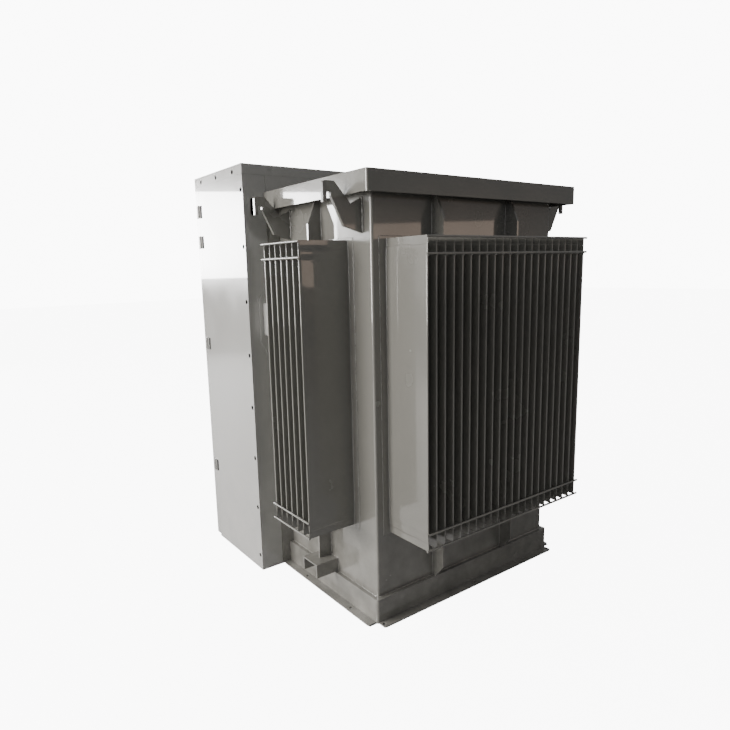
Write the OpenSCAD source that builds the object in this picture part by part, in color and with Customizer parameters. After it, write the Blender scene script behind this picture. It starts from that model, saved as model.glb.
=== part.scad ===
// Pad-mounted transformer: a finned oil tank with a tall terminal cabinet in front of it.
// The front (doors) faces -Y, the rear fins face +Y, and +Z is up.
// The origin lies on the pad, on the centre line, in the joint between the tank and the cabinet.

/* [Tank] */
// Width of the tank
tank_w = 1086; // [1060:2:1320]
// Depth of the tank behind the cabinet
tank_d = 695; // [640:5:860]
// Height of the top face of the tank cover
cover_top = 1824; // [1800:2:1870]
// Thickness of the tank walls
wall_t = 6; // [5:0.5:8]
// Outside radius of the tank's rear corners
corner_r = 10; // [9:1:20]

/* [Cover] */
// Overhang of the cover beyond the tank walls
cover_over = 78; // [70:1:84]
// Height of the cover's skirt
skirt_h = 80; // [72:1:84]
// Thickness of the cover plate
cover_t = 8; // [6:1:10]

/* [Cooling fins] */
// Distance from one fin to the next
fin_pitch = 45; // [38:1:48]
// Number of fins at the rear
rear_fins = 22; // [12:1:22]
// Number of fins on each side
side_fins = 7; // [4:1:7]
// Reach of the fins from the tank wall
fin_reach = 233; // [160:1:280]
// Height of the underside of the fins
fin_low = 382; // [320:2:440]
// Height of the top of the fins
fin_high = 1583; // [1320:1:1590]
// Thickness of a fin along its body
fin_t = 10; // [8:0.5:12]

/* [Base] */
// Height of the base skirt
base_h = 107; // [85:1:130]
// Width of the foot flange beyond the skirt
foot_w = 40; // [34:1:46]
// Radius of the anchor holes
anchor_r = 8; // [6:0.5:10]

/* [Cabinet] */
// Overhang of the cabinet beyond the tank on each side
cab_over = 182; // [170:1:218]
// Depth of the cabinet with its doors
cab_d = 546; // [520:2:660]
// Height of the cabinet over its cap
cab_h = 1946; // [1930:2:2340]
// Height of the cap's skirt
cap_h = 45; // [40:1:56]
// Depth of the door pans with their seam
door_d = 40; // [38:1:48]
// Sheet thickness of the cabinet and doors
sheet = 2; // [1.5:0.5:3]
// Number of side holes along the back edge
side_holes = 8; // [5:1:9]

/* [Hidden] */
$fn = 48;
gap = 0.3;
tiny = 0.05;

// Tank and cover
hw = tank_w / 2;
floor_t = 8;
front_t = 10;
rim_t = 12;
rim_w = 55;
gasket_t = 4;
rim_top = cover_top - cover_t - gasket_t;
wall_top = rim_top - rim_t;
cover_low = cover_top - skirt_h;
cover_wall = 4;
cover_gap = 0.5;
cover_round = 8;
cover_x = hw + cover_over;
cover_y = tank_d + cover_over;
bolt_r = 6;
bolt_head_r = 10;
bolt_head_h = 8;
bolt_bite = cover_t - 2;
bolt_in = 30;
bolt_end = 60;
bolt_pitch = 150;
side_bolts = floor((tank_d - 2 * bolt_end) / bolt_pitch) + 1;
rear_bolts = floor((tank_w - 2 * bolt_end) / bolt_pitch) + 1;
BOLT_SPOTS = concat(
  [for (s = [-1, 1], i = [0:side_bolts - 1])
    [s * (hw + bolt_in), bolt_end + i * (tank_d - 2 * bolt_end) / (side_bolts - 1)]],
  [for (i = [0:rear_bolts - 1])
    [-hw + bolt_end + i * (tank_w - 2 * bolt_end) / (rear_bolts - 1), tank_d + bolt_in]]
);

// Fin banks, each built along X on a wall at Y = 0
panel_t = 3;
panel_edge = 35;
panel_over = 8;
skin_t = 1.2;
end_t = 6;
end_zone = 65;
end_seal = 12;
end_reach = fin_reach - 0.5;
rod_r = 4.5;
rod_over = 12;
rear_half = (rear_fins - 1) / 2 * fin_pitch;
side_half = (side_fins - 1) / 2 * fin_pitch;
side_mid = tank_d - 289;
window_in = 20;
body_low = fin_low + end_zone;
body_high = fin_high - end_zone;
rod_levels = [fin_low + rod_r, body_low + rod_r, body_high, fin_high - rod_r];
panel_low = fin_low - panel_over;
panel_high = fin_high + panel_over;

// Ribs, lugs, base and jacking channels
rib_t = 10;
rib_out = 66;
rib_tip = 32;
rib_gap = 2;
rib_taper = 78;
rib_hide = 12;
rib_x = hw - 318;
skirt_off = 20;
skirt_round = 12;
base_t = 8;
foot_t = 6;
foot_round = 12;
skirt_x = hw + skirt_off;
skirt_y = tank_d + skirt_off;
anchor_x = skirt_x + foot_w / 2;
anchor_in = 145;
jack_w = 114;
jack_h = 63;
jack_out = 117;
jack_t = 6;
lug_t = 14;
lug_y = [95, tank_d - 61];
lug_notch = 10;
lug_notch_at = cover_over + 74;

// Cabinet
hc = hw + cab_over;
front_y = -cab_d;
face_y = -front_t;
seam = 1;
seam_y = front_y + door_d;
frame_y = seam_y + 5;
plate_over = 68;
return_x = hw + plate_over;
plate_x = return_x - seam;
cap_low = cab_h - cap_h;
cap_under = cab_h - sheet;
panel_top = cap_low - seam;
jamb_w = 35;
beam_d = 40;
sill_h = 100;
header_low = panel_top - 50;
foot_lip = 30;
lap_t = 3;
lap_h = 40;
hole_r = 10;
hole_in = 20;
hole_low = 74;
hole_pitch = (panel_top - 66 - hole_low) / (side_holes - 1);
cap_hole_first = 98;
cap_hole_pitch = 183;
cap_hole_z = cap_low + 19;
cap_slot_w = 27;
cap_slot_h = 14;
cap_slot_x = return_x - 30;
vent_w = 18;
vent_h = 76;
vent_x = hc - 44;
vent_z = panel_top - 141;
barrier_t = 3;
barrier_d = 440;
transit_out = 61;
transit_in = 50;
transit_low = 1146;
transit_high = 1346;
transit_slope = 34;
transit_flange = 20;
transit_d = 90;
transit_r = 16;

// Hinges
hinge_z = [421, 1097, panel_top - 276, panel_top - 123];
hinge_h = 60;
knuckle = 20;
leaf_t = 3;
leaf_gap = 0.2;
pin_r = 3;
barrel_r = pin_r + 2.5;
run = 0.05;
hinge_x = hc + leaf_gap + barrel_r;
hinge_y = seam_y - seam / 2;
leaf_off = barrel_r + 0.5;
tongue_in = 12;
slot_w = 20;
slot_off = 14;
hinge_reach = slot_off + gap + leaf_t / 2;
slot_h = hinge_h + 2;

// Doors and latch
door_in = seam_y - seam;
door_mid = 1.5;
door_low = 12;
door_high = cap_low - 2;
lip_w = 30;
stiff_w = 30;
stiff_d = 10;
stiff_z = [500, 1400];
seal_w = 12;
seal_edge = 5;
latch_x = 60;
latch_z = 1000;
latch_stroke = 18;
latch_rod_r = 5;
spindle_r = 8;
cam_r = 30;
cam_t = 5;
cam_y = front_y + sheet + 3;
cam_pin_r = 4;
upper_rod_y = front_y + 20;
lower_rod_y = front_y + 29;
yoke_t = 5;
yoke_reach = 40;
yoke_side = 10;
yoke_drift = 10;
keeper_t = 6;
keeper_w = 44;
keeper_hole = 7;
keeper_high = header_low + 8;
keeper_low = 60;
rod_rest = 3;
guide_z = [300, 700, 1300, 1700];
handle_w = 22;
handle_l = 130;
handle_out = 30;
handle_t = 12;
handle_hub_r = 15;
lock_eye_r = 5;
plate_half_w = 22;
plate_half_h = 60;
plate_t = 3;
guide_w = 24;
guide_h = 16;

// High-voltage bushings and the stands beside them
bushing_z = 1120;
hv_x = [for (i = [0:2]) -hw + 53 + i * 128];
hv_shank = 38;
hv_shank_in = 40;
hv_tail_r = 30;
hv_tail_in = 90;
hv_flange_r = 55;
hv_flange_t = 12;
hv_cone_base_r = 44;
hv_cone_tip_r = 30;
hv_cone_l = 110;
hv_pin_r = 20;
hv_pin_out = 140;
stand_z = 1240;
stand_out = 52;
stand_half_w = 28;
stand_h = 22;
stand_wall = 12;
stand_floor = 6;
stand_back = 8;

// Low-voltage bushings with their four-hole spades
lv_x = [for (i = [3:-1:0]) hw - 58 - i * 125];
lv_shank = 30;
lv_shank_in = 60;
lv_flange_r = 50;
lv_flange_t = 14;
lv_body_r = 36;
lv_body_out = 80;
lv_stud_r = 15;
lv_stud_out = 106;
hub_r = 22;
hub_out = 132;
spade = 102;
spade_t = 10;
spade_in = 120;
nema = 44.45;
nema_r = 7.15;

// Load-break switch and tap changer
switch_x = -120;
switch_z = 1400;
switch_half = 60;
switch_body_in = 150;
switch_collar = 20;
switch_collar_out = 15;
switch_flange_r = 40;
switch_flange_t = 6;
switch_shaft = 10;
switch_shaft_in = 34;
switch_hub_r = 24;
switch_arm_w = 24;
switch_arm_l = 100;
switch_arm_out = 45;
switch_arm_t = 10;
switch_eye_outer = 22;
switch_eye_r = 13;
tap_z = 1220;
tap_half = 40;
tap_body_in = 90;
tap_collar = 14;
tap_collar_out = 12;
tap_dial_r = 50;
tap_dial_t = 4;
tap_shaft = 6;
tap_shaft_in = 24;
tap_hub_r = 18;
tap_hub_out = 36;
tap_arm_w = 14;
tap_arm_t = 12;
tap_arm_l = 58;

// Fuses
fuse_z = 1560;
fuse_r = 16;
fuse_tube_r = 24;
fuse_tube_out = 60;
fuse_flange_r = 40;
fuse_flange_t = 10;
fuse_in = 260;
fuse_end = 10;
fuse_cap_r = 28;
fuse_cap_out = 88;
fuse_tab_out = 122;
fuse_tab_t = 10;
fuse_tab_half = 16;
fuse_eye_at = 105;
fuse_eye_r = 9;

// Relief valve, gauges, drain valve, ground bar and rating plate
stub_r = 16;
relief_z = 1690;
relief_stub_in = 30;
relief_hex_r = 26;
relief_hex_t = 14;
relief_body_r = 18;
relief_body_out = 50;
relief_stem = 5;
relief_stem_in = 21;
ring_at = 76;
ring_r = 14;
ring_wire_r = 3;
gauge_z = 1560;
gauge_x = [180, 340];
gauge_r = 52;
gauge_out = 34;
gauge_stub_in = 40;
drain_x = hw - 43;
drain_z = 200;
drain_pipe = 17;
drain_body_r = 26;
drain_body_at = [50, 100];
drain_hex_r = 20;
drain_hex_l = 28;
drain_stem_at = 75;
drain_neck_r = 14;
drain_neck_z = 34;
drain_stem = 8;
lever_l = 110;
lever_half_w = 8;
lever_t = 6;
ground_z = 320;
ground_h = 40;
ground_t = 12;
ground_hole = 5.1;
ground_pitch = 80;
ground_in = 50;
rating_w = 180;
rating_h = 130;
rating_t = 1.5;
rating_z = 1280;

// Core and windings
core_y = tank_d - 265;
leg_pitch = 340;
leg_r = 75;
yoke_h = 150;
yoke_low = 150;
window_h = 850;
clamp_t = 20;
clamp_w = 120;
lv_in = leg_r + 1;
lv_out = 118;
hv_out = 165;
coil_in = 30;

PAINT = "#8b8c87";
LIGHT_PAINT = "#b4b3ae";
STEEL = "#a8a9a8";
RUBBER = "#2c2c2c";
RESIN = "#7a3b24";

// ---------- helpers ----------

// A block given by its low and high corners
module block(low, high) {
  translate(low) cube(high - low);
}

// A round bar along X, Y or Z between two values
module bar_x(y, z, r, x0, x1) {
  translate([x0, y, z]) rotate([0, 90, 0]) cylinder(r = r, h = x1 - x0);
}

module bar_y(x, z, r, y0, y1) {
  translate([x, y0, z]) rotate([-90, 0, 0]) cylinder(r = r, h = y1 - y0);
}

module bar_z(x, y, r, z0, z1) {
  translate([x, y, z0]) cylinder(r = r, h = z1 - z0);
}

// A slot through a sheet that faces Y, with round ends above and below
module tall_slot_y(x, z, w, h, y0, y1) {
  block([x - w / 2, y0, z - h / 2 + w / 2], [x + w / 2, y1, z + h / 2 - w / 2]);
  for (s = [-1, 1]) bar_y(x, z + s * (h - w) / 2, w / 2, y0, y1);
}

// The same piece drawn for +X and mirrored for -X
module both_sides() {
  children();
  mirror([1, 0, 0]) children();
}

// A footprint that starts at Y = 0 and has round rear corners
module footprint(half, deep, r) {
  translate([-half, 0]) square([2 * half, deep - r]);
  translate([-half + r, 0]) square([2 * half - 2 * r, deep]);
  for (s = [-1, 1]) translate([s * (half - r), deep - r]) circle(r = r);
}

// A plate whose outline is drawn as (out from the wall, height)
module rear_plate(x, t) {
  translate([x - t / 2, tank_d, 0]) rotate([90, 0, 90]) linear_extrude(t) children();
}

module side_plate(y, t) {
  translate([hw, y + t / 2, 0]) rotate([90, 0, 0]) linear_extrude(t) children();
}

// ---------- tank ----------

module tank_shell() color(PAINT) difference() {
  linear_extrude(wall_top) footprint(hw, tank_d, corner_r);
  translate([0, 0, floor_t]) linear_extrude(wall_top)
    footprint(hw - wall_t, tank_d - wall_t, corner_r - wall_t);
  block([-hw + wall_t, -1, floor_t], [hw - wall_t, wall_t, wall_top + 1]);
  block([-rear_half - fin_t, tank_d - 2 * wall_t, fin_low + window_in],
        [rear_half + fin_t, tank_d + 1, fin_high - window_in]);
  both_sides() block([hw - 2 * wall_t, side_mid - side_half - fin_t, fin_low + window_in],
                     [hw + 1, side_mid + side_half + fin_t, fin_high - window_in]);
}

// The wall behind the terminals, which also closes the back of the cabinet
module tank_front_plate() color(PAINT) difference() {
  block([-plate_x, face_y, 0], [plate_x, 0, cover_top]);
  for (x = hv_x) {
    bar_y(x, bushing_z, hv_shank + tiny, face_y - 1, 1);
    bar_y(x, fuse_z, fuse_tube_r + tiny, face_y - 1, 1);
  }
  for (x = lv_x) bar_y(x, bushing_z, lv_shank + tiny, face_y - 1, 1);
  for (x = gauge_x) bar_y(x, gauge_z, stub_r + tiny, face_y - 1, 1);
  bar_y(switch_x, switch_z, switch_collar + tiny, face_y - 1, 1);
  bar_y(switch_x, tap_z, tap_collar + tiny, face_y - 1, 1);
  bar_y(switch_x, relief_z, stub_r + tiny, face_y - 1, 1);
  bar_y(drain_x, drain_z, drain_pipe + tiny, face_y - 1, 1);
}

// The ring shared by the rim flange and its gasket
module rim_ring(z0, z1) difference() {
  block([-hw - rim_w, 0, z0], [hw + rim_w, tank_d + rim_w, z1]);
  block([-hw + wall_t, rim_w, z0 - 1], [hw - wall_t, tank_d - wall_t, z1 + 1]);
  for (p = BOLT_SPOTS) bar_z(p[0], p[1], bolt_r + 1, z0 - 1, z1 + 1);
}

module tank_rim_flange() color(PAINT) rim_ring(wall_top, rim_top);

module cover_gasket() color(RUBBER) rim_ring(rim_top, rim_top + gasket_t);

module tank_cover() color(PAINT) difference() {
  translate([0, cover_gap, cover_low]) linear_extrude(skirt_h)
    footprint(cover_x, cover_y - cover_gap, cover_round);
  translate([0, 0, cover_low - 1]) linear_extrude(skirt_h - cover_t + 1)
    footprint(cover_x - cover_wall, cover_y - cover_wall, cover_round - cover_wall);
  for (p = BOLT_SPOTS)
    bar_z(p[0], p[1], bolt_r + run, cover_top - cover_t - 1, cover_top - cover_t + bolt_bite + 0.5);
}

// Hexagon bolts from below, hidden by the cover's skirt
module cover_bolts() color(STEEL) for (p = BOLT_SPOTS) {
  bar_z(p[0], p[1], bolt_r, wall_top - 1, cover_top - cover_t + bolt_bite);
  translate([p[0], p[1], wall_top - bolt_head_h]) cylinder(r = bolt_head_r, h = bolt_head_h, $fn = 6);
}

// ---------- cooling fins ----------

// A flat hollow or skin of one fin, with a round nose
module fin_slab(t, reach, z0, z1) {
  block([-t / 2, 0, z0], [t / 2, reach - t / 2, z1]);
  bar_z(0, reach - t / 2, t / 2, z0, z1);
}

module fin_bank(count, half) difference() {
  union() {
    block([-half - panel_edge, 0, panel_low], [half + panel_edge, panel_t, panel_high]);
    for (i = [0:count - 1]) translate([i * fin_pitch - half, 0, 0]) {
      fin_slab(fin_t, fin_reach, body_low, body_high);
      fin_slab(end_t, end_reach, fin_low, fin_high);
    }
  }
  for (i = [0:count - 1]) translate([i * fin_pitch - half, -tiny, 0]) {
    fin_slab(fin_t - 2 * skin_t, fin_reach - skin_t, body_low + skin_t, body_high - skin_t);
    fin_slab(end_t - 2 * skin_t, end_reach - skin_t, fin_low + end_seal, fin_high - end_seal);
  }
}

// Places what is drawn along X on the rear, right or left wall
module on_rear() translate([0, tank_d, 0]) children();

module on_right() translate([hw, side_mid, 0]) rotate([0, 0, -90]) children();

module on_left() translate([-hw, side_mid, 0]) rotate([0, 0, 90]) children();

module rear_fin_panel() color(PAINT) on_rear() fin_bank(rear_fins, rear_half);

module right_fin_panel() color(PAINT) on_right() fin_bank(side_fins, side_half);

module left_fin_panel() color(PAINT) on_left() fin_bank(side_fins, side_half);

module bank_rods(half) for (z = rod_levels)
  bar_x(fin_reach + rod_r + tiny, z, rod_r, -half - rod_over, half + rod_over);

module fin_tie_rods() color(PAINT) {
  on_rear() bank_rods(rear_half);
  on_right() bank_rods(side_half);
  on_left() bank_rods(side_half);
}

// ---------- ribs, lugs and base ----------

module upper_rib() polygon([
  [0, panel_high + rib_gap], [rib_out, panel_high + rib_gap], [rib_out, cover_low - rib_taper - 6],
  [rib_tip, cover_low - 6], [rib_tip, cover_low + rib_hide], [0, cover_low + rib_hide]
]);

module lower_rear_rib() polygon([
  [0, base_h], [skirt_off, base_h], [rib_out, base_h + 58], [rib_out, panel_low - rib_gap],
  [0, panel_low - rib_gap]
]);

module lower_side_rib() polygon([
  [0, base_h + jack_h], [rib_out, base_h + jack_h], [rib_out, panel_low - rib_gap],
  [0, panel_low - rib_gap]
]);

module wall_ribs() color(PAINT) {
  for (x = [-rib_x, rib_x]) {
    rear_plate(x, rib_t) upper_rib();
    rear_plate(x, rib_t) lower_rear_rib();
  }
  both_sides() {
    side_plate(tank_d / 2, rib_t) upper_rib();
    side_plate(tank_d / 2, rib_t) lower_side_rib();
  }
}

// A hook that passes under the cover's skirt and rises outside it
module lug_outline() difference() {
  translate([0, cover_low]) polygon([
    [0, -139], [cover_over + 9, -114], [lug_notch_at - lug_notch, -7], [lug_notch_at - lug_notch, 1],
    [lug_notch_at + lug_notch, 1], [lug_notch_at + lug_notch, -30], [lug_notch_at + 26, -30],
    [lug_notch_at + 26, 40], [lug_notch_at + 19, 47], [cover_over + 50, 47], [cover_over - 24, -32],
    [0, -7]
  ]);
  translate([lug_notch_at, cover_low + 1]) circle(r = lug_notch);
}

module lifting_lugs() color(PAINT) both_sides() for (y = lug_y) side_plate(y, lug_t) lug_outline();

module foot_strip(l) {
  square([l, base_t + foot_w - foot_round]);
  translate([foot_round, 0]) square([l - 2 * foot_round, base_t + foot_w]);
  for (x = [foot_round, l - foot_round])
    translate([x, base_t + foot_w - foot_round]) circle(r = foot_round);
}

module base_frame() color(PAINT) difference() {
  union() {
    linear_extrude(base_h) difference() {
      footprint(skirt_x, skirt_y, skirt_round);
      translate([0, -1]) footprint(skirt_x - base_t, skirt_y - base_t + 1, skirt_round - base_t);
    }
    translate([0, 0, base_h - base_t]) linear_extrude(base_t) difference() {
      footprint(skirt_x, skirt_y, skirt_round);
      footprint(hw, tank_d, corner_r);
    }
    translate([-hw - foot_round, skirt_y - base_t, 0]) linear_extrude(foot_t)
      foot_strip(tank_w + 2 * foot_round);
    both_sides() translate([skirt_x - base_t, tank_d + foot_round - 4, 0]) rotate([0, 0, -90])
      linear_extrude(foot_t) foot_strip(tank_d + foot_round - 4);
  }
  for (x = [-hw, 0, hw]) bar_z(x, skirt_y + foot_w / 2, anchor_r, -1, foot_t + 1);
  for (s = [-1, 1], y = [anchor_in + 51, tank_d - anchor_in])
    bar_z(s * anchor_x, y, anchor_r, -1, foot_t + 1);
}

module jacking_channels() color(PAINT) both_sides() difference() {
  block([hw, (tank_d - jack_w) / 2, base_h], [hw + jack_out, (tank_d + jack_w) / 2, base_h + jack_h]);
  block([hw - 1, (tank_d - jack_w) / 2 + jack_t, base_h - 1],
        [hw + jack_out + 1, (tank_d + jack_w) / 2 - jack_t, base_h + jack_h - jack_t]);
}

// ---------- cabinet ----------

module side_panel() difference() {
  union() {
    block([hc - sheet, seam_y, 0], [hc, 0, panel_top]);
    block([return_x, -sheet, 0], [hc, 0, panel_top]);
    block([hc - jamb_w, frame_y, sill_h], [hc, frame_y + sheet, header_low]);
    block([hc - sheet - foot_lip, frame_y + beam_d + 2, 0], [hc, 0, sheet]);
    block([hc - sheet - lap_t - gap, frame_y + sheet, panel_top - lap_h], [hc, -hole_in, panel_top]);
    block([hc - sheet - lap_t - gap, frame_y + sheet, panel_top - 1],
          [hc - sheet - gap, -hole_in, cap_under]);
  }
  for (i = [0:side_holes - 1])
    bar_x(-hole_in, hole_low + i * hole_pitch, hole_r, hc - sheet - 10, hc + 1);
  for (i = [0:2])
    bar_x(-cap_hole_first - i * cap_hole_pitch, cap_hole_z, hole_r + 1, hc - sheet - 10, hc + 1);
  for (z = hinge_z)
    block([hc - sheet - 1, hinge_y + slot_off, z - slot_h / 2],
          [hc + 1, hinge_y + slot_off + slot_w, z + slot_h / 2]);
  tall_slot_y(vent_x, vent_z, vent_w, vent_h, -sheet - 1, 1);
}

module cabinet_right_panel() color(LIGHT_PAINT) side_panel();

module cabinet_left_panel() color(LIGHT_PAINT) mirror([1, 0, 0]) side_panel();

module cabinet_cap() color(LIGHT_PAINT) difference() {
  block([-hc, front_y, cap_low], [hc, 0, cab_h]);
  block([-hc + sheet, front_y + sheet, cap_low - 1], [hc - sheet, -sheet, cap_under]);
  both_sides() {
    for (i = [0:2])
      bar_x(-cap_hole_first - i * cap_hole_pitch, cap_hole_z, hole_r, hc - sheet - 1, hc + 1);
    translate([cap_slot_x, 0, cap_low + 24]) {
      block([-(cap_slot_w - cap_slot_h) / 2, -sheet - 1, -cap_slot_h / 2],
            [(cap_slot_w - cap_slot_h) / 2, 1, cap_slot_h / 2]);
      for (s = [-1, 1]) bar_y(s * (cap_slot_w - cap_slot_h) / 2, 0, cap_slot_h / 2, -sheet - 1, 1);
    }
  }
}

// Closes the back between the tank cover and the cap
module cabinet_back_strip() color(LIGHT_PAINT) union() {
  block([-plate_x, -sheet, cover_top], [plate_x, 0, panel_top]);
  block([-plate_x, -sheet - lap_t - gap, cover_top], [plate_x, 0, panel_top]);
  block([-plate_x, -sheet - lap_t - gap, panel_top - 1], [plate_x, -sheet - gap, cap_under]);
}

module keeper(z, rod_y) difference() {
  block([latch_x - keeper_w / 2, front_y + 10, z], [latch_x + keeper_w / 2, frame_y + 1, z + keeper_t]);
  bar_z(latch_x, rod_y, keeper_hole, z - 1, z + keeper_t + 1);
}

// A C-shaped beam across the front, open to the rear
module beam(half, z0, z1) difference() {
  block([-half, frame_y, z0], [half, frame_y + beam_d, z1]);
  block([-half - 1, frame_y + sheet, z0 + sheet], [half + 1, frame_y + beam_d + 1, z1 - sheet]);
}

module cabinet_header() color(LIGHT_PAINT) union() {
  beam(hc - sheet - lap_t - 2 * gap, header_low, cap_under);
  keeper(keeper_high, upper_rod_y);
}

module cabinet_sill() color(LIGHT_PAINT) union() {
  beam(hc - sheet - gap, 0, sill_h);
  keeper(keeper_low, lower_rod_y);
}

module compartment_barrier() color(LIGHT_PAINT) difference() {
  block([-barrier_t / 2, -barrier_d, sill_h + 10], [barrier_t / 2, face_y, header_low - 10]);
  block([-barrier_t, face_y - ground_t - 4, ground_z - ground_h / 2 - 4],
        [barrier_t, face_y + 1, ground_z + ground_h / 2 + 4]);
}

module rounded_pan(x0, x1, z0, z1, r, y0, y1) {
  block([x0, y0, z0 + r], [x1, y1, z1 - r]);
  block([x0 + r, y0, z0], [x1 - r, y1, z1]);
  for (x = [x0 + r, x1 - r], z = [z0 + r, z1 - r]) bar_y(x, z, r, y0, y1);
}

// The sloped outline of the transit's flange, from the tank wall to its outer edge
module transit_plate() rotate([90, 0, 0]) translate([return_x, 0, -leaf_t]) linear_extrude(leaf_t)
  polygon([
    [-transit_in, transit_low - 2 * transit_slope],
    [transit_out - transit_slope, transit_low - 2 * transit_slope],
    [transit_out, transit_low],
    [transit_out, transit_high],
    [transit_out - transit_slope, transit_high + transit_slope],
    [-transit_in, transit_high + transit_slope]
  ]);

// Covers the wiring transit from the tank wall into the cabinet
module wiring_cover() color(LIGHT_PAINT) {
  x0 = return_x - transit_in + transit_flange / 2;
  x1 = return_x + transit_out - transit_flange;
  z0 = transit_low + transit_flange;
  z1 = transit_high - transit_flange;
  difference() {
    union() {
      transit_plate();
      rounded_pan(x0, x1, z0, z1, transit_r, 0, transit_d);
    }
    rounded_pan(x0 + sheet, x1 - sheet, z0 + sheet, z1 - sheet, transit_r - sheet, -1, transit_d - sheet);
  }
}

// ---------- doors ----------

module door_pan() difference() {
  union() {
    difference() {
      block([door_mid, front_y, door_low], [hc, door_in, door_high]);
      block([door_mid + sheet, front_y + sheet, door_low + sheet],
            [hc - sheet, door_in - sheet, door_high - sheet]);
      block([door_mid + sheet, door_in - sheet - 1, door_low + lip_w],
            [hc - lip_w, door_in + 1, door_high - lip_w]);
    }
    for (z = stiff_z)
      block([door_mid + sheet - 1, front_y + sheet - 1, z - stiff_w / 2],
            [hc - sheet + 1, front_y + sheet + stiff_d, z + stiff_w / 2]);
  }
  for (z = hinge_z)
    block([hc - sheet - 1, hinge_y - slot_off - slot_w, z - slot_h / 2],
          [hc + 1, hinge_y - slot_off, z + slot_h / 2]);
}

module lv_door() color(LIGHT_PAINT) difference() {
  door_pan();
  bar_y(latch_x, latch_z, spindle_r + run, front_y - 1, front_y + sheet + 1);
}

module hv_door() color(LIGHT_PAINT) mirror([1, 0, 0]) door_pan();

module door_seal() difference() {
  block([door_mid + seal_edge, door_in, door_low + lip_w - seal_edge - seal_w],
        [hc - lip_w + seal_edge + seal_w, frame_y - gap, door_high - lip_w + seal_edge + seal_w]);
  block([door_mid, door_in - 1, door_low + lip_w - seal_edge],
        [hc - lip_w + seal_edge, frame_y, door_high - lip_w + seal_edge]);
}

module lv_door_seal() color(RUBBER) door_seal();

module hv_door_seal() color(RUBBER) mirror([1, 0, 0]) door_seal();

// One leaf with its knuckles; side is 1 on the cabinet and -1 on the door
module hinge_leaf(side, knuckles) difference() {
  union() {
    translate([hc + leaf_gap, 0, 0]) {
      block([0, min(side * leaf_off, side * (hinge_reach + leaf_t / 2)), -hinge_h / 2],
            [leaf_t, max(side * leaf_off, side * (hinge_reach + leaf_t / 2)), hinge_h / 2]);
      block([-tongue_in, side * hinge_reach - leaf_t / 2, -hinge_h / 2],
            [leaf_t, side * hinge_reach + leaf_t / 2, hinge_h / 2]);
      for (k = knuckles)
        block([0, min(0, side * (leaf_off + 1)), k[0]], [leaf_t, max(0, side * (leaf_off + 1)), k[1]]);
    }
    for (k = knuckles) bar_z(hinge_x, 0, barrel_r, k[0], k[1]);
  }
  bar_z(hinge_x, 0, pin_r + run, -hinge_h, hinge_h);
}

module hinge_row() for (z = hinge_z) translate([0, hinge_y, z]) children();

module door_leaves() hinge_row() hinge_leaf(-1, [[-knuckle / 2 + gap / 2, knuckle / 2 - gap / 2]]);

module fixed_hinge_leaves() color(LIGHT_PAINT) both_sides() hinge_row()
  hinge_leaf(1, [[-hinge_h / 2, -knuckle / 2 - gap / 2], [knuckle / 2 + gap / 2, hinge_h / 2]]);

module lv_door_hinge_leaves() color(LIGHT_PAINT) door_leaves();

module hv_door_hinge_leaves() color(LIGHT_PAINT) mirror([1, 0, 0]) door_leaves();

module hinge_pins() color(STEEL) both_sides() hinge_row() {
  bar_z(hinge_x, 0, pin_r, -hinge_h / 2 - 1, hinge_h / 2 + 1);
  bar_z(hinge_x, 0, pin_r + 1.5, hinge_h / 2 + tiny, hinge_h / 2 + 3);
}

// ---------- latch ----------

module handle_plate() color(STEEL) difference() {
  block([latch_x - plate_half_w, front_y - plate_t, latch_z - plate_half_h],
        [latch_x + plate_half_w, front_y, latch_z + plate_half_h]);
  bar_y(latch_x, latch_z, spindle_r + run, front_y - plate_t - 1, front_y + 1);
}

// A lever that hangs down at rest, with a padlock eye at its tip
module door_handle() color(STEEL) difference() {
  tip_z = latch_z - handle_l;
  union() {
    bar_y(latch_x, latch_z, handle_hub_r, front_y - handle_out, front_y - plate_t - gap);
    block([latch_x - handle_w / 2, front_y - handle_out, tip_z],
          [latch_x + handle_w / 2, front_y - handle_out + handle_t, latch_z]);
    bar_y(latch_x, tip_z, handle_w / 2, front_y - handle_out, front_y - handle_out + handle_t);
    bar_y(latch_x, latch_z, spindle_r, front_y - 10, cam_y + cam_t + 1);
  }
  bar_y(latch_x, tip_z, lock_eye_r, front_y - handle_out - 1, front_y - handle_out + handle_t + 1);
}

module latch_cam() color(STEEL) difference() {
  union() {
    bar_y(latch_x, latch_z, cam_r, cam_y, cam_y + cam_t);
    bar_y(latch_x + latch_stroke, latch_z, cam_pin_r, cam_y, upper_rod_y + yoke_t / 2 + 1);
    bar_y(latch_x - latch_stroke, latch_z, cam_pin_r, cam_y, lower_rod_y + yoke_t / 2 + 1);
  }
  bar_y(latch_x, latch_z, spindle_r + tiny, cam_y - 1, cam_y + cam_t + 1);
}

// The slotted end that a cam pin moves in; side is 1 above the cam and -1 below it
module yoke(side, rod_y) translate([latch_x, rod_y, latch_z]) difference() {
  block([min(-side * yoke_side, side * (latch_stroke + yoke_side)), -yoke_t / 2,
         min(-side * yoke_side, side * yoke_reach)],
        [max(-side * yoke_side, side * (latch_stroke + yoke_side)), yoke_t / 2,
         max(-side * yoke_side, side * yoke_reach)]);
  block([min(-side * 6, side * (latch_stroke + 6)), -yoke_t, min(-side * 6, side * yoke_drift)],
        [max(-side * 6, side * (latch_stroke + 6)), yoke_t, max(-side * 6, side * yoke_drift)]);
}

module upper_latch_rod() color(STEEL) union() {
  bar_z(latch_x, upper_rod_y, latch_rod_r, latch_z + yoke_reach - 6, keeper_high - rod_rest);
  yoke(1, upper_rod_y);
}

module lower_latch_rod() color(STEEL) union() {
  bar_z(latch_x, lower_rod_y, latch_rod_r, keeper_low + keeper_t + rod_rest, latch_z - yoke_reach + 6);
  yoke(-1, lower_rod_y);
}

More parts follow.
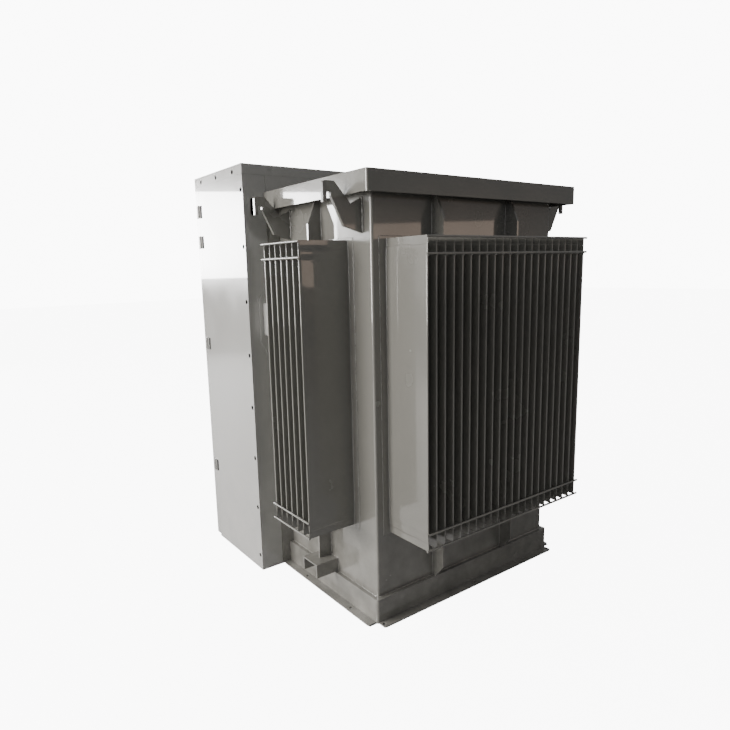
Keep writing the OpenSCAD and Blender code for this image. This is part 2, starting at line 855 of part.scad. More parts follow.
module latch_rod_guides() color(STEEL) for (z = guide_z) {
  rod_y = z > latch_z ? upper_rod_y : lower_rod_y;
  difference() {
    block([latch_x - guide_w / 2, front_y + sheet, z - guide_h / 2],
          [latch_x + guide_w / 2, rod_y + 9, z + guide_h / 2]);
    bar_z(latch_x, rod_y, latch_rod_r + run, z - guide_h / 2 - 1, z + guide_h / 2 + 1);
  }
}

// ---------- terminals ----------

module hv_bushings() color(RESIN) for (x = hv_x) {
  bar_y(x, bushing_z, hv_shank, face_y, hv_shank_in);
  bar_y(x, bushing_z, hv_tail_r, hv_shank_in - 1, hv_tail_in);
  bar_y(x, bushing_z, hv_flange_r, face_y - hv_flange_t, face_y);
  translate([x, face_y - hv_flange_t + tiny, bushing_z]) rotate([90, 0, 0])
    cylinder(r1 = hv_cone_base_r, r2 = hv_cone_tip_r, h = hv_cone_l);
  bar_y(x, bushing_z, hv_pin_r, face_y - hv_pin_out, face_y - hv_cone_l - 10);
}

// A U-shaped holder for a parked elbow
module parking_stands() color(STEEL) for (x = hv_x) difference() {
  block([x - stand_half_w, face_y - stand_out, stand_z], [x + stand_half_w, face_y, stand_z + stand_h]);
  block([x - stand_half_w + stand_wall, face_y - stand_out - 1, stand_z + stand_floor],
        [x + stand_half_w - stand_wall, face_y - stand_back, stand_z + stand_h + 1]);
}

module lv_bushings() color("#6b6f70") for (x = lv_x) {
  bar_y(x, bushing_z, lv_shank, face_y, lv_shank_in);
  bar_y(x, bushing_z, lv_flange_r, face_y - lv_flange_t, face_y);
  bar_y(x, bushing_z, lv_body_r, face_y - lv_body_out, face_y - lv_flange_t + 1);
  bar_y(x, bushing_z, lv_stud_r, face_y - lv_stud_out, face_y - lv_body_out + 1);
}

module lv_terminal_spades() color("#b7b9b6") for (x = lv_x) difference() {
  spade_y = face_y - spade_in - spade / 2;
  union() {
    bar_y(x, bushing_z, hub_r, face_y - hub_out, face_y - lv_body_out - 4);
    block([x - spade_t / 2, spade_y - spade / 2, bushing_z - spade / 2],
          [x + spade_t / 2, spade_y + spade / 2, bushing_z + spade / 2]);
  }
  bar_y(x, bushing_z, lv_stud_r + run, face_y - lv_stud_out, face_y - lv_body_out);
  for (sy = [-1, 1], sz = [-1, 1])
    bar_x(spade_y + sy * nema / 2, bushing_z + sz * nema / 2, nema_r, x - spade_t, x + spade_t);
}

// ---------- switch, tap changer and fuses ----------

module load_break_switch() color("#3c3f41") difference() {
  union() {
    block([switch_x - switch_half, 0, switch_z - switch_half],
          [switch_x + switch_half, switch_body_in, switch_z + switch_half]);
    bar_y(switch_x, switch_z, switch_collar, face_y - switch_collar_out, 1);
    bar_y(switch_x, switch_z, switch_flange_r, face_y - switch_flange_t, face_y);
  }
  bar_y(switch_x, switch_z, switch_shaft + run, face_y - switch_collar_out - 1, switch_shaft_in + 1);
}

// An arm with an eye for a hot stick
module load_break_handle() color("#a63a24") difference() {
  eye_z = switch_z + switch_arm_l;
  arm_y = face_y - switch_arm_out;
  union() {
    bar_y(switch_x, switch_z, switch_shaft, arm_y + 5, switch_shaft_in);
    bar_y(switch_x, switch_z, switch_hub_r, arm_y, face_y - switch_collar_out - gap);
    block([switch_x - switch_arm_w / 2, arm_y, switch_z],
          [switch_x + switch_arm_w / 2, arm_y + switch_arm_t, eye_z]);
    bar_y(switch_x, eye_z, switch_eye_outer, arm_y, arm_y + switch_arm_t);
  }
  bar_y(switch_x, eye_z, switch_eye_r, arm_y - 1, arm_y + switch_arm_t + 1);
}

module tap_changer() color("#3c3f41") difference() {
  union() {
    block([switch_x - tap_half, 0, tap_z - tap_half], [switch_x + tap_half, tap_body_in, tap_z + tap_half]);
    bar_y(switch_x, tap_z, tap_collar, face_y - tap_collar_out, 1);
    bar_y(switch_x, tap_z, tap_dial_r, face_y - tap_dial_t, face_y);
  }
  bar_y(switch_x, tap_z, tap_shaft + run, face_y - tap_collar_out - 1, tap_shaft_in + 1);
}

module tap_changer_handle() color("#a63a24") union() {
  arm_y = face_y - tap_hub_out + 2;
  bar_y(switch_x, tap_z, tap_shaft, face_y - tap_collar_out - 8, tap_shaft_in);
  bar_y(switch_x, tap_z, tap_hub_r, face_y - tap_hub_out, face_y - tap_collar_out - gap);
  block([switch_x - tap_arm_w / 2, arm_y, tap_z],
        [switch_x + tap_arm_w / 2, arm_y + tap_arm_t, tap_z + tap_arm_l]);
}

module fuse_housings() color("#3c3f41") for (x = hv_x) difference() {
  union() {
    bar_y(x, fuse_z, fuse_tube_r, face_y - fuse_tube_out, fuse_in);
    bar_y(x, fuse_z, fuse_flange_r, face_y - fuse_flange_t, face_y);
  }
  bar_y(x, fuse_z, fuse_r + run, face_y - fuse_tube_out - 1, fuse_in - fuse_end);
}

// A holder with a cap and a pull tab that has an eye
module fuse_holder(x) color("#59504a") difference() {
  union() {
    bar_y(x, fuse_z, fuse_r, face_y - fuse_tube_out - 1, fuse_in - 2 * fuse_end);
    bar_y(x, fuse_z, fuse_cap_r, face_y - fuse_cap_out, face_y - fuse_tube_out - gap);
    block([x - fuse_tab_t / 2, face_y - fuse_tab_out, fuse_z - fuse_tab_half],
          [x + fuse_tab_t / 2, face_y - fuse_cap_out + 1, fuse_z + fuse_tab_half]);
  }
  bar_x(face_y - fuse_eye_at, fuse_z, fuse_eye_r, x - fuse_tab_t / 2 - 1, x + fuse_tab_t / 2 + 1);
}

module fuse_holder_a() fuse_holder(hv_x[0]);

module fuse_holder_b() fuse_holder(hv_x[1]);

module fuse_holder_c() fuse_holder(hv_x[2]);

// ---------- relief, gauges, drain and ground ----------

module pressure_relief_valve() color("#b08d3c") difference() {
  union() {
    bar_y(switch_x, relief_z, stub_r, face_y, relief_stub_in);
    bar_y(switch_x, relief_z, relief_hex_r, face_y - relief_hex_t, face_y);
    bar_y(switch_x, relief_z, relief_body_r, face_y - relief_body_out, face_y - relief_hex_t + 1);
  }
  bar_y(switch_x, relief_z, relief_stem + run, face_y - relief_body_out - 1, face_y - relief_stem_in + 1);
}

module relief_pull_ring() color(STEEL) union() {
  bar_y(switch_x, relief_z, relief_stem, face_y - ring_at + ring_r, face_y - relief_stem_in);
  translate([switch_x, face_y - ring_at, relief_z]) rotate_extrude() translate([ring_r, 0])
    circle(r = ring_wire_r);
}

module gauge(x) color("#2f3133") {
  bar_y(x, gauge_z, stub_r, face_y, gauge_stub_in);
  bar_y(x, gauge_z, gauge_r, face_y - gauge_out, face_y);
}

module level_gauge() gauge(gauge_x[0]);

module oil_thermometer() gauge(gauge_x[1]);

module drain_valve() color("#b08d3c") {
  stem_y = face_y - drain_stem_at;
  bar_y(drain_x, drain_z, drain_pipe, face_y - drain_body_at[0], 20);
  bar_y(drain_x, drain_z, drain_body_r, face_y - drain_body_at[1], face_y - drain_body_at[0] + 1);
  translate([drain_x, face_y - drain_body_at[1] + 1, drain_z]) rotate([90, 0, 0])
    cylinder(r = drain_hex_r, h = drain_hex_l, $fn = 6);
  bar_z(drain_x, stem_y, drain_neck_r, drain_z + 20, drain_z + drain_neck_z);
  bar_z(drain_x, stem_y, drain_stem, drain_z + drain_neck_z - 1, drain_z + drain_neck_z + 12);
}

module drain_valve_lever() color("#a63a24") difference() {
  stem_y = face_y - drain_stem_at;
  lever_z = drain_z + drain_neck_z;
  union() {
    bar_z(drain_x, stem_y, drain_neck_r, lever_z + gap, lever_z + 10);
    block([drain_x, stem_y - lever_half_w, lever_z + gap],
          [drain_x + lever_l, stem_y + lever_half_w, lever_z + lever_t]);
  }
  bar_z(drain_x, stem_y, drain_stem + run, lever_z - 1, lever_z + 11);
}

module ground_bar() color("#b5794a") difference() {
  block([-plate_x + ground_in, face_y - ground_t, ground_z - ground_h / 2],
        [plate_x - ground_in, face_y, ground_z + ground_h / 2]);
  for (s = [-1, 1], i = [1:6])
    bar_y(s * i * ground_pitch, ground_z, ground_hole, face_y - ground_t - 1, face_y + 1);
}

module rating_plate() color("#c8c9c6")
  block([gauge_x[1] - rating_w / 2, face_y - rating_t, rating_z],
        [gauge_x[1] + rating_w / 2, face_y, rating_z + rating_h]);

// ---------- core and windings ----------

module core() color("#55585a") union() {
  for (i = [-1:1])
    bar_z(i * leg_pitch, core_y, leg_r, yoke_low + yoke_h - 1, yoke_low + yoke_h + window_h + 1);
  for (z = [yoke_low, yoke_low + yoke_h + window_h])
    block([-leg_pitch - leg_r, core_y - leg_r, z], [leg_pitch + leg_r, core_y + leg_r, z + yoke_h]);
}

module core_clamps() color("#55585a") for (s = [-1, 1]) {
  y0 = core_y + (s > 0 ? leg_r : -leg_r - clamp_t);
  for (z = [yoke_low, yoke_low + yoke_h + window_h])
    block([-leg_pitch - leg_r, y0, z + (yoke_h - clamp_w) / 2],
          [leg_pitch + leg_r, y0 + clamp_t, z + (yoke_h + clamp_w) / 2]);
  for (x = [-leg_pitch, leg_pitch])
    block([x - 40, y0, floor_t], [x + 40, y0 + clamp_t, yoke_low + yoke_h / 2]);
}

module winding(r_in, r_out, z0, z1) for (i = [-1:1]) difference() {
  bar_z(i * leg_pitch, core_y, r_out, z0, z1);
  bar_z(i * leg_pitch, core_y, r_in, z0 - 1, z1 + 1);
}

module lv_windings() color("#b06a3a")
  winding(lv_in, lv_out, yoke_low + yoke_h, yoke_low + yoke_h + window_h);

module hv_windings() color("#c08a52")
  winding(lv_out + gap, hv_out, yoke_low + yoke_h + coil_in, yoke_low + yoke_h + window_h - coil_in);

// ---------- nodes ----------

tank_shell();
tank_front_plate();
tank_rim_flange();
cover_gasket();
tank_cover();
cover_bolts();
rear_fin_panel();
right_fin_panel();
left_fin_panel();
fin_tie_rods();
wall_ribs();
lifting_lugs();
base_frame();
jacking_channels();
cabinet_right_panel();
cabinet_left_panel();
cabinet_cap();
cabinet_back_strip();
cabinet_header();
cabinet_sill();
compartment_barrier();
wiring_cover();
lv_door();
hv_door();
lv_door_seal();
hv_door_seal();
fixed_hinge_leaves();
lv_door_hinge_leaves();
hv_door_hinge_leaves();
hinge_pins();
handle_plate();
door_handle();
latch_cam();
upper_latch_rod();
lower_latch_rod();
latch_rod_guides();
hv_bushings();
parking_stands();
lv_bushings();
lv_terminal_spades();
load_break_switch();
load_break_handle();
tap_changer();
tap_changer_handle();
fuse_housings();
fuse_holder_a();
fuse_holder_b();
fuse_holder_c();
pressure_relief_valve();
relief_pull_ring();
level_gauge();
oil_thermometer();
drain_valve();
drain_valve_lever();
ground_bar();
rating_plate();
core();
core_clamps();
lv_windings();
hv_windings();
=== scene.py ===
"""Looks of the pad-mounted transformer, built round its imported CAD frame.

All lengths are in metres, in the part's own frame: the pad is z = 0, the doors face -Y, the rear
fins face +Y, and the joint between the tank and the cabinet is y = 0.
"""

import logging
import math
from dataclasses import dataclass, field
from enum import Enum

import bpy
import numpy as np
from mathutils import Matrix, Vector


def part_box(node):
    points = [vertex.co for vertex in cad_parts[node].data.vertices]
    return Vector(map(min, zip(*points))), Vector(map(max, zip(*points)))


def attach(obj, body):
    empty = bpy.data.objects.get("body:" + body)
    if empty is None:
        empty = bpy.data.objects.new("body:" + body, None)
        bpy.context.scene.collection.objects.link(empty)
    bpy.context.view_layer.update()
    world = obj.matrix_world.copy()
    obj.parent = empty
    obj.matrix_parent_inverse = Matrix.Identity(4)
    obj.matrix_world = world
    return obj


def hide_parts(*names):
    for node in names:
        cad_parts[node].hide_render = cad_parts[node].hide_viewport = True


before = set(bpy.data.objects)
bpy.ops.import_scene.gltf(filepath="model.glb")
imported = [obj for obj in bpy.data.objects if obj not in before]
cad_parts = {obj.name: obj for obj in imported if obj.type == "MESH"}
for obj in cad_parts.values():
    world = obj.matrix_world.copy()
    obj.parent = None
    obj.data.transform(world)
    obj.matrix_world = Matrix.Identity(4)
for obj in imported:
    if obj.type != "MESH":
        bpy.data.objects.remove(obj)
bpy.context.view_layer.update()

MM = 0.001
SEED = 7
LOG = logging.getLogger("transformer")

Colour = tuple[float, float, float]
Spot = tuple[float, float, float]
Profile = tuple[tuple[float, float], ...]
Socket = bpy.types.NodeSocket
Object = bpy.types.Object


class Body(Enum):
    """Bodies of the CAD model that carry pieces made here."""

    TRANSFORMER = "transformer"
    LV_DOOR = "lv_door"
    HV_DOOR = "hv_door"


# ---------- materials ----------


class Graph:
    """A node tree, with one short method for each kind of node used here."""

    def __init__(self, tree: bpy.types.NodeTree) -> None:
        """Takes the tree that the nodes go into."""
        self.tree = tree

    def node(self, kind: str, **settings: object) -> bpy.types.Node:
        """Adds a node.

        Args:
            kind: The node's type name.
            settings: Properties to set on it.

        Returns:
            The new node.
        """
        made = self.tree.nodes.new(kind)
        for key, value in settings.items():
            setattr(made, key, value)
        return made

    def put(self, value: float | Colour | Socket, target: Socket) -> None:
        """Gives an input its value.

        Args:
            value: A number, a colour or another node's output.
            target: The input.
        """
        if isinstance(value, bpy.types.NodeSocket):
            self.tree.links.new(value, target)
        elif isinstance(value, tuple):
            target.default_value = (*value, 1)
        else:
            target.default_value = value

    def maths(self, operation: str, *values: float | Socket) -> Socket:
        """Works out one sum.

        Args:
            operation: What to do with the values.
            values: Numbers or outputs, in the order that the operation takes them.

        Returns:
            The result.
        """
        made = self.node("ShaderNodeMath", operation=operation)
        for value, target in zip(values, made.inputs):
            self.put(value, target)
        return made.outputs["Value"]

    def along(self, vector: Socket, axis: str) -> Socket:
        """Takes one coordinate out of a vector.

        Args:
            vector: The vector.
            axis: X, Y or Z.

        Returns:
            The coordinate.
        """
        split = self.node("ShaderNodeSeparateXYZ")
        self.put(vector, split.inputs["Vector"])
        return split.outputs[axis]


class Surface(Graph):
    """A material's node tree, whose patterns read Object coordinates."""

    def __init__(self, name: str) -> None:
        """Makes a plain material.

        Args:
            name: The material's name.
        """
        self.material = bpy.data.materials.new(name)
        self.material.use_nodes = True
        super().__init__(self.material.node_tree)
        self.shader = self.tree.nodes["Principled BSDF"]
        self.place = self.node("ShaderNodeTexCoord").outputs["Object"]

    def stretched(self, scale: Spot) -> Socket:
        """Scales the coordinates along each axis, for grain that runs one way.

        Args:
            scale: The factor along X, Y and Z.

        Returns:
            The scaled coordinates.
        """
        mapping = self.node("ShaderNodeMapping")
        mapping.inputs["Scale"].default_value = scale
        self.put(self.place, mapping.inputs["Vector"])
        return mapping.outputs["Vector"]

    def noise(self, scale: float, detail: float, vector: Socket | None = None) -> Socket:
        """Makes a noise pattern.

        Args:
            scale: How many features fit in a metre.
            detail: How many finer layers it has.
            vector: The coordinates, or None for the plain ones.

        Returns:
            A value between 0 and 1.
        """
        made = self.node("ShaderNodeTexNoise")
        made.inputs["Scale"].default_value = scale
        made.inputs["Detail"].default_value = detail
        self.put(vector or self.place, made.inputs["Vector"])
        return made.outputs["Fac"]

    def span(self, value: Socket, low: float, high: float, start: float = 0.0, end: float = 1.0) -> Socket:
        """Maps a value in a straight line, clamped at both ends.

        Args:
            value: The value to map.
            low: The result at start.
            high: The result at end.
            start: Where the line begins.
            end: Where the line stops.

        Returns:
            The mapped value.
        """
        made = self.node("ShaderNodeMapRange", clamp=True)
        for name, number in zip(("From Min", "From Max", "To Min", "To Max"), (start, end, low, high)):
            made.inputs[name].default_value = number
        self.put(value, made.inputs["Value"])
        return made.outputs["Result"]

    def mixed(self, share: Socket, first: Colour | Socket, second: Colour) -> Socket:
        """Lays one colour over another.

        Args:
            share: How much of the second colour shows.
            first: The colour below.
            second: The colour on top.

        Returns:
            The mixed colour.
        """
        factor, below, above, result = 0, 6, 7, 2
        made = self.node("ShaderNodeMix", data_type="RGBA")
        self.put(first, made.inputs[below])
        self.put(second, made.inputs[above])
        self.put(share, made.inputs[factor])
        return made.outputs[result]

    def bump(self, value: Socket, depth: float, strength: float, under: Socket | None = None) -> Socket:
        """Raises the surface by a value.

        Args:
            value: The height, between 0 and 1.
            depth: How far a height of 1 stands out.
            strength: How much of the bump shows.
            under: A normal that is bumped already.

        Returns:
            The new normal.
        """
        made = self.node("ShaderNodeBump")
        made.inputs["Distance"].default_value = depth
        made.inputs["Strength"].default_value = strength
        self.put(value, made.inputs["Height"])
        if under is not None:
            self.put(under, made.inputs["Normal"])
        return made.outputs["Normal"]

    def feed(self, **values: float | Colour | Socket) -> None:
        """Gives the shader's inputs their values, with _ for a space in a name."""
        for key, value in values.items():
            self.put(value, self.shader.inputs[key.replace("_", " ")])


def scaled(colour: Colour, factor: float) -> Colour:
    """A colour made lighter or darker, with no channel above 1."""
    return tuple(min(1.0, channel * factor) for channel in colour)


@dataclass(frozen=True)
class Enamel:
    """Gloss enamel sprayed on sheet steel, with orange peel, slight sheet waves and settled dust."""

    name: str
    colour: Colour
    dust: Colour = (0.42, 0.41, 0.38)
    roughness: float = 0.2
    wave: float = 1.0
    mottle: float = 0.07
    mottle_scale: float = 2.2
    dust_share: float = 0.34
    dust_top: float = 0.5
    dust_scale: float = 9.0
    patch_scale: float = 5.0
    coat_roughness: float = 0.035
    coat_ior: float = 1.6
    sheet_scale: float = 3.0
    sheet_depth: float = 10 * MM
    peel_scale: float = 420.0
    peel_depth: float = 0.25 * MM

    def build(self) -> bpy.types.Material:
        """Makes the material: dust fades from the pad up to dust_top, in patches.

        Returns:
            The material.
        """
        g = Surface(self.name)
        darker, lighter = scaled(self.colour, 1 - self.mottle), scaled(self.colour, 1 + self.mottle)
        mottled = g.mixed(g.noise(self.mottle_scale, 5), darker, lighter)
        low = g.span(g.along(g.place, "Z"), self.dust_share, 0.0, 0.0, self.dust_top)
        dusty = g.maths("MULTIPLY", low, g.span(g.noise(self.dust_scale, 6), 0.0, 1.0, 0.35, 0.75))
        patches = g.noise(self.patch_scale, 4)
        g.feed(
            Base_Color=g.mixed(dusty, mottled, self.dust),
            Roughness=g.span(patches, self.roughness * 0.8, self.roughness * 1.5, 0.3, 0.75),
            Coat_Weight=1.0,
            Coat_Roughness=self.coat_roughness,
            Coat_IOR=self.coat_ior,
        )
        sheet = g.bump(g.noise(self.sheet_scale, 1), self.sheet_depth * self.wave, 0.5)
        g.feed(Normal=g.bump(g.noise(self.peel_scale, 2), self.peel_depth, 0.35, sheet))
        return g.material


@dataclass(frozen=True)
class Metal:
    """Bare or plated metal with fine grain and uneven roughness."""

    name: str
    colour: Colour
    roughness: float = 0.35
    grain: Spot = (1.0, 1.0, 1.0)
    spots: float = 60.0
    rub_scale: float = 90.0
    grain_scale: float = 300.0
    grain_depth: float = 0.2 * MM

    def build(self) -> bpy.types.Material:
        """Makes the material.

        Returns:
            The material.
        """
        g = Surface(self.name)
        along = g.stretched(self.grain)
        rubbed = g.noise(self.rub_scale, 4, along)
        g.feed(
            Base_Color=g.mixed(g.noise(self.spots, 6), scaled(self.colour, 0.8), scaled(self.colour, 1.1)),
            Metallic=1.0,
            Roughness=g.span(rubbed, self.roughness * 0.75, self.roughness * 1.4, 0.3, 0.7),
            Normal=g.bump(g.noise(self.grain_scale, 3, along), self.grain_depth, 0.3),
        )
        return g.material


@dataclass(frozen=True)
class Moulded:
    """Moulded rubber, plastic, resin or fired porcelain."""

    name: str
    colour: Colour
    roughness: float
    coat: float = 0.0
    spots: float = 18.0
    rub_scale: float = 40.0
    grain_scale: float = 600.0
    grain_depth: float = 0.2 * MM

    def build(self) -> bpy.types.Material:
        """Makes the material.

        Returns:
            The material.
        """
        g = Surface(self.name)
        rubbed = g.noise(self.rub_scale, 3)
        g.feed(
            Base_Color=g.mixed(g.noise(self.spots, 5), scaled(self.colour, 0.85), scaled(self.colour, 1.15)),
            Roughness=g.span(rubbed, self.roughness * 0.85, self.roughness * 1.15),
            Coat_Weight=self.coat,
            Normal=g.bump(g.noise(self.grain_scale, 2), self.grain_depth, 0.4),
        )
        return g.material


Finish = Enamel | Metal | Moulded

TANK = Enamel("tank_enamel", (0.128, 0.126, 0.114))
CABINET = Enamel("cabinet_enamel", (0.270, 0.270, 0.260), roughness=0.17)
DOORS = Enamel("door_enamel", (0.270, 0.270, 0.260), roughness=0.17)
FINS = Enamel("fin_enamel", (0.128, 0.126, 0.114), wave=0.2)
WELD = Enamel("painted_weld", (0.150, 0.148, 0.136), roughness=0.24, wave=0.0)
ZINC = Metal("zinc_plate", (0.62, 0.63, 0.62))
ALUMINIUM = Metal("bare_aluminium", (0.78, 0.79, 0.79), 0.3, (1, 8, 1))
BRASS = Metal("cast_brass", (0.66, 0.47, 0.20), 0.32)
COPPER = Metal("wound_copper", (0.62, 0.30, 0.15), 0.38, (1, 1, 14))
CORE = Metal("core_steel", (0.22, 0.23, 0.25), 0.5, (1, 14, 1))
RUBBER = Moulded("seal_rubber", (0.018, 0.018, 0.018), 0.7)
RESIN = Moulded("bushing_resin", (0.22, 0.055, 0.030), 0.22, coat=0.3)
PORCELAIN = Moulded("bushing_glaze", (0.34, 0.36, 0.37), 0.16, coat=0.6)
BLACK = Moulded("black_moulding", (0.025, 0.026, 0.028), 0.45)
RED = Moulded("red_moulding", (0.45, 0.035, 0.020), 0.35, coat=0.2)
DIAL_WHITE = Moulded("dial_white", (0.62, 0.62, 0.59), 0.4)
PRINT_BLACK = Moulded("print_black", (0.012, 0.012, 0.012), 0.5)

NODE_FINISH = {
    TANK: (
        "tank_shell", "tank_front_plate", "tank_rim_flange", "tank_cover", "wall_ribs", "lifting_lugs",
        "base_frame", "jacking_channels", "fin_tie_rods",
    ),
    CABINET: (
        "cabinet_right_panel", "cabinet_left_panel", "cabinet_cap", "cabinet_back_strip",
        "cabinet_header", "cabinet_sill", "compartment_barrier", "wiring_cover", "fixed_hinge_leaves",
    ),
    DOORS: ("lv_door", "hv_door", "lv_door_hinge_leaves", "hv_door_hinge_leaves"),
    FINS: ("rear_fin_panel", "right_fin_panel", "left_fin_panel"),
    ZINC: (
        "cover_bolts", "hinge_pins", "handle_plate", "door_handle", "latch_cam", "upper_latch_rod",
        "lower_latch_rod", "latch_rod_guides", "parking_stands", "relief_pull_ring",
    ),
    ALUMINIUM: ("lv_terminal_spades", "rating_plate"),
    BRASS: ("pressure_relief_valve", "drain_valve", "ground_bar"),
    COPPER: ("lv_windings", "hv_windings"),
    CORE: ("core", "core_clamps"),
    RUBBER: ("cover_gasket", "lv_door_seal", "hv_door_seal"),
    RESIN: ("hv_bushings",),
    PORCELAIN: ("lv_bushings",),
    BLACK: (
        "load_break_switch", "tap_changer", "fuse_housings", "fuse_holder_a", "fuse_holder_b",
        "fuse_holder_c", "level_gauge", "oil_thermometer",
    ),
    RED: ("load_break_handle", "tap_changer_handle", "drain_valve_lever"),
}

EDGE_ROUND_MM = {
    "tank_cover": 2.0, "lifting_lugs": 1.2, "wall_ribs": 1.2, "base_frame": 1.0, "jacking_channels": 1.5,
    "cabinet_cap": 1.4, "cabinet_right_panel": 0.8, "cabinet_left_panel": 0.8, "lv_door": 1.2,
    "hv_door": 1.2, "wiring_cover": 1.4, "door_handle": 1.5, "handle_plate": 0.8,
}


class Palette:
    """Makes each finish once and hands it out."""

    def __init__(self) -> None:
        """Starts with nothing made."""
        self.made: dict[Finish, bpy.types.Material] = {}

    def get(self, finish: Finish) -> bpy.types.Material:
        """Hands out a finish.

        Args:
            finish: The finish that is wanted.

        Returns:
            Its material, made at the first call.
        """
        if finish not in self.made:
            self.made[finish] = finish.build()
        return self.made[finish]


PALETTE = Palette()


@dataclass(frozen=True)
class Dressing:
    """The CAD nodes' finishes, and the rounding of the edges that catch the light."""

    steps: int = 2
    angle: float = 40.0

    def soften(self, piece: Object, radius: float) -> None:
        """Bevels a node's edges, with smooth shading that keeps flat faces flat.

        Args:
            piece: The node.
            radius: The width of the bevel.
        """
        bevel = piece.modifiers.new("edges", "BEVEL")
        bevel.width = radius
        bevel.segments = self.steps
        bevel.limit_method = "ANGLE"
        bevel.angle_limit = math.radians(self.angle)
        bevel.harden_normals = True
        piece.data.shade_smooth()

    def build(self) -> list[Object]:
        """Dresses every CAD node.

        Returns:
            The nodes.
        """
        nodes = []
        for finish, names in NODE_FINISH.items():
            for name in names:
                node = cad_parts[name]
                node.data.materials.clear()
                node.data.materials.append(PALETTE.get(finish))
                nodes.append(node)
        for name, radius in EDGE_ROUND_MM.items():
            self.soften(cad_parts[name], radius * MM)
        return nodes


# ---------- mesh helpers ----------


def smoothstep(t: np.ndarray) -> np.ndarray:
    """3 t^2 - 2 t^3, which leaves 0 and reaches 1 with no slope."""
    return t * t * (3 - 2 * t)


def in_mm(profile: Profile, start: float = 0.0) -> Profile:
    """A profile written in millimetres, turned to metres, with its radii counted from a start."""
    return tuple((start + radius * MM, out * MM) for radius, out in profile)


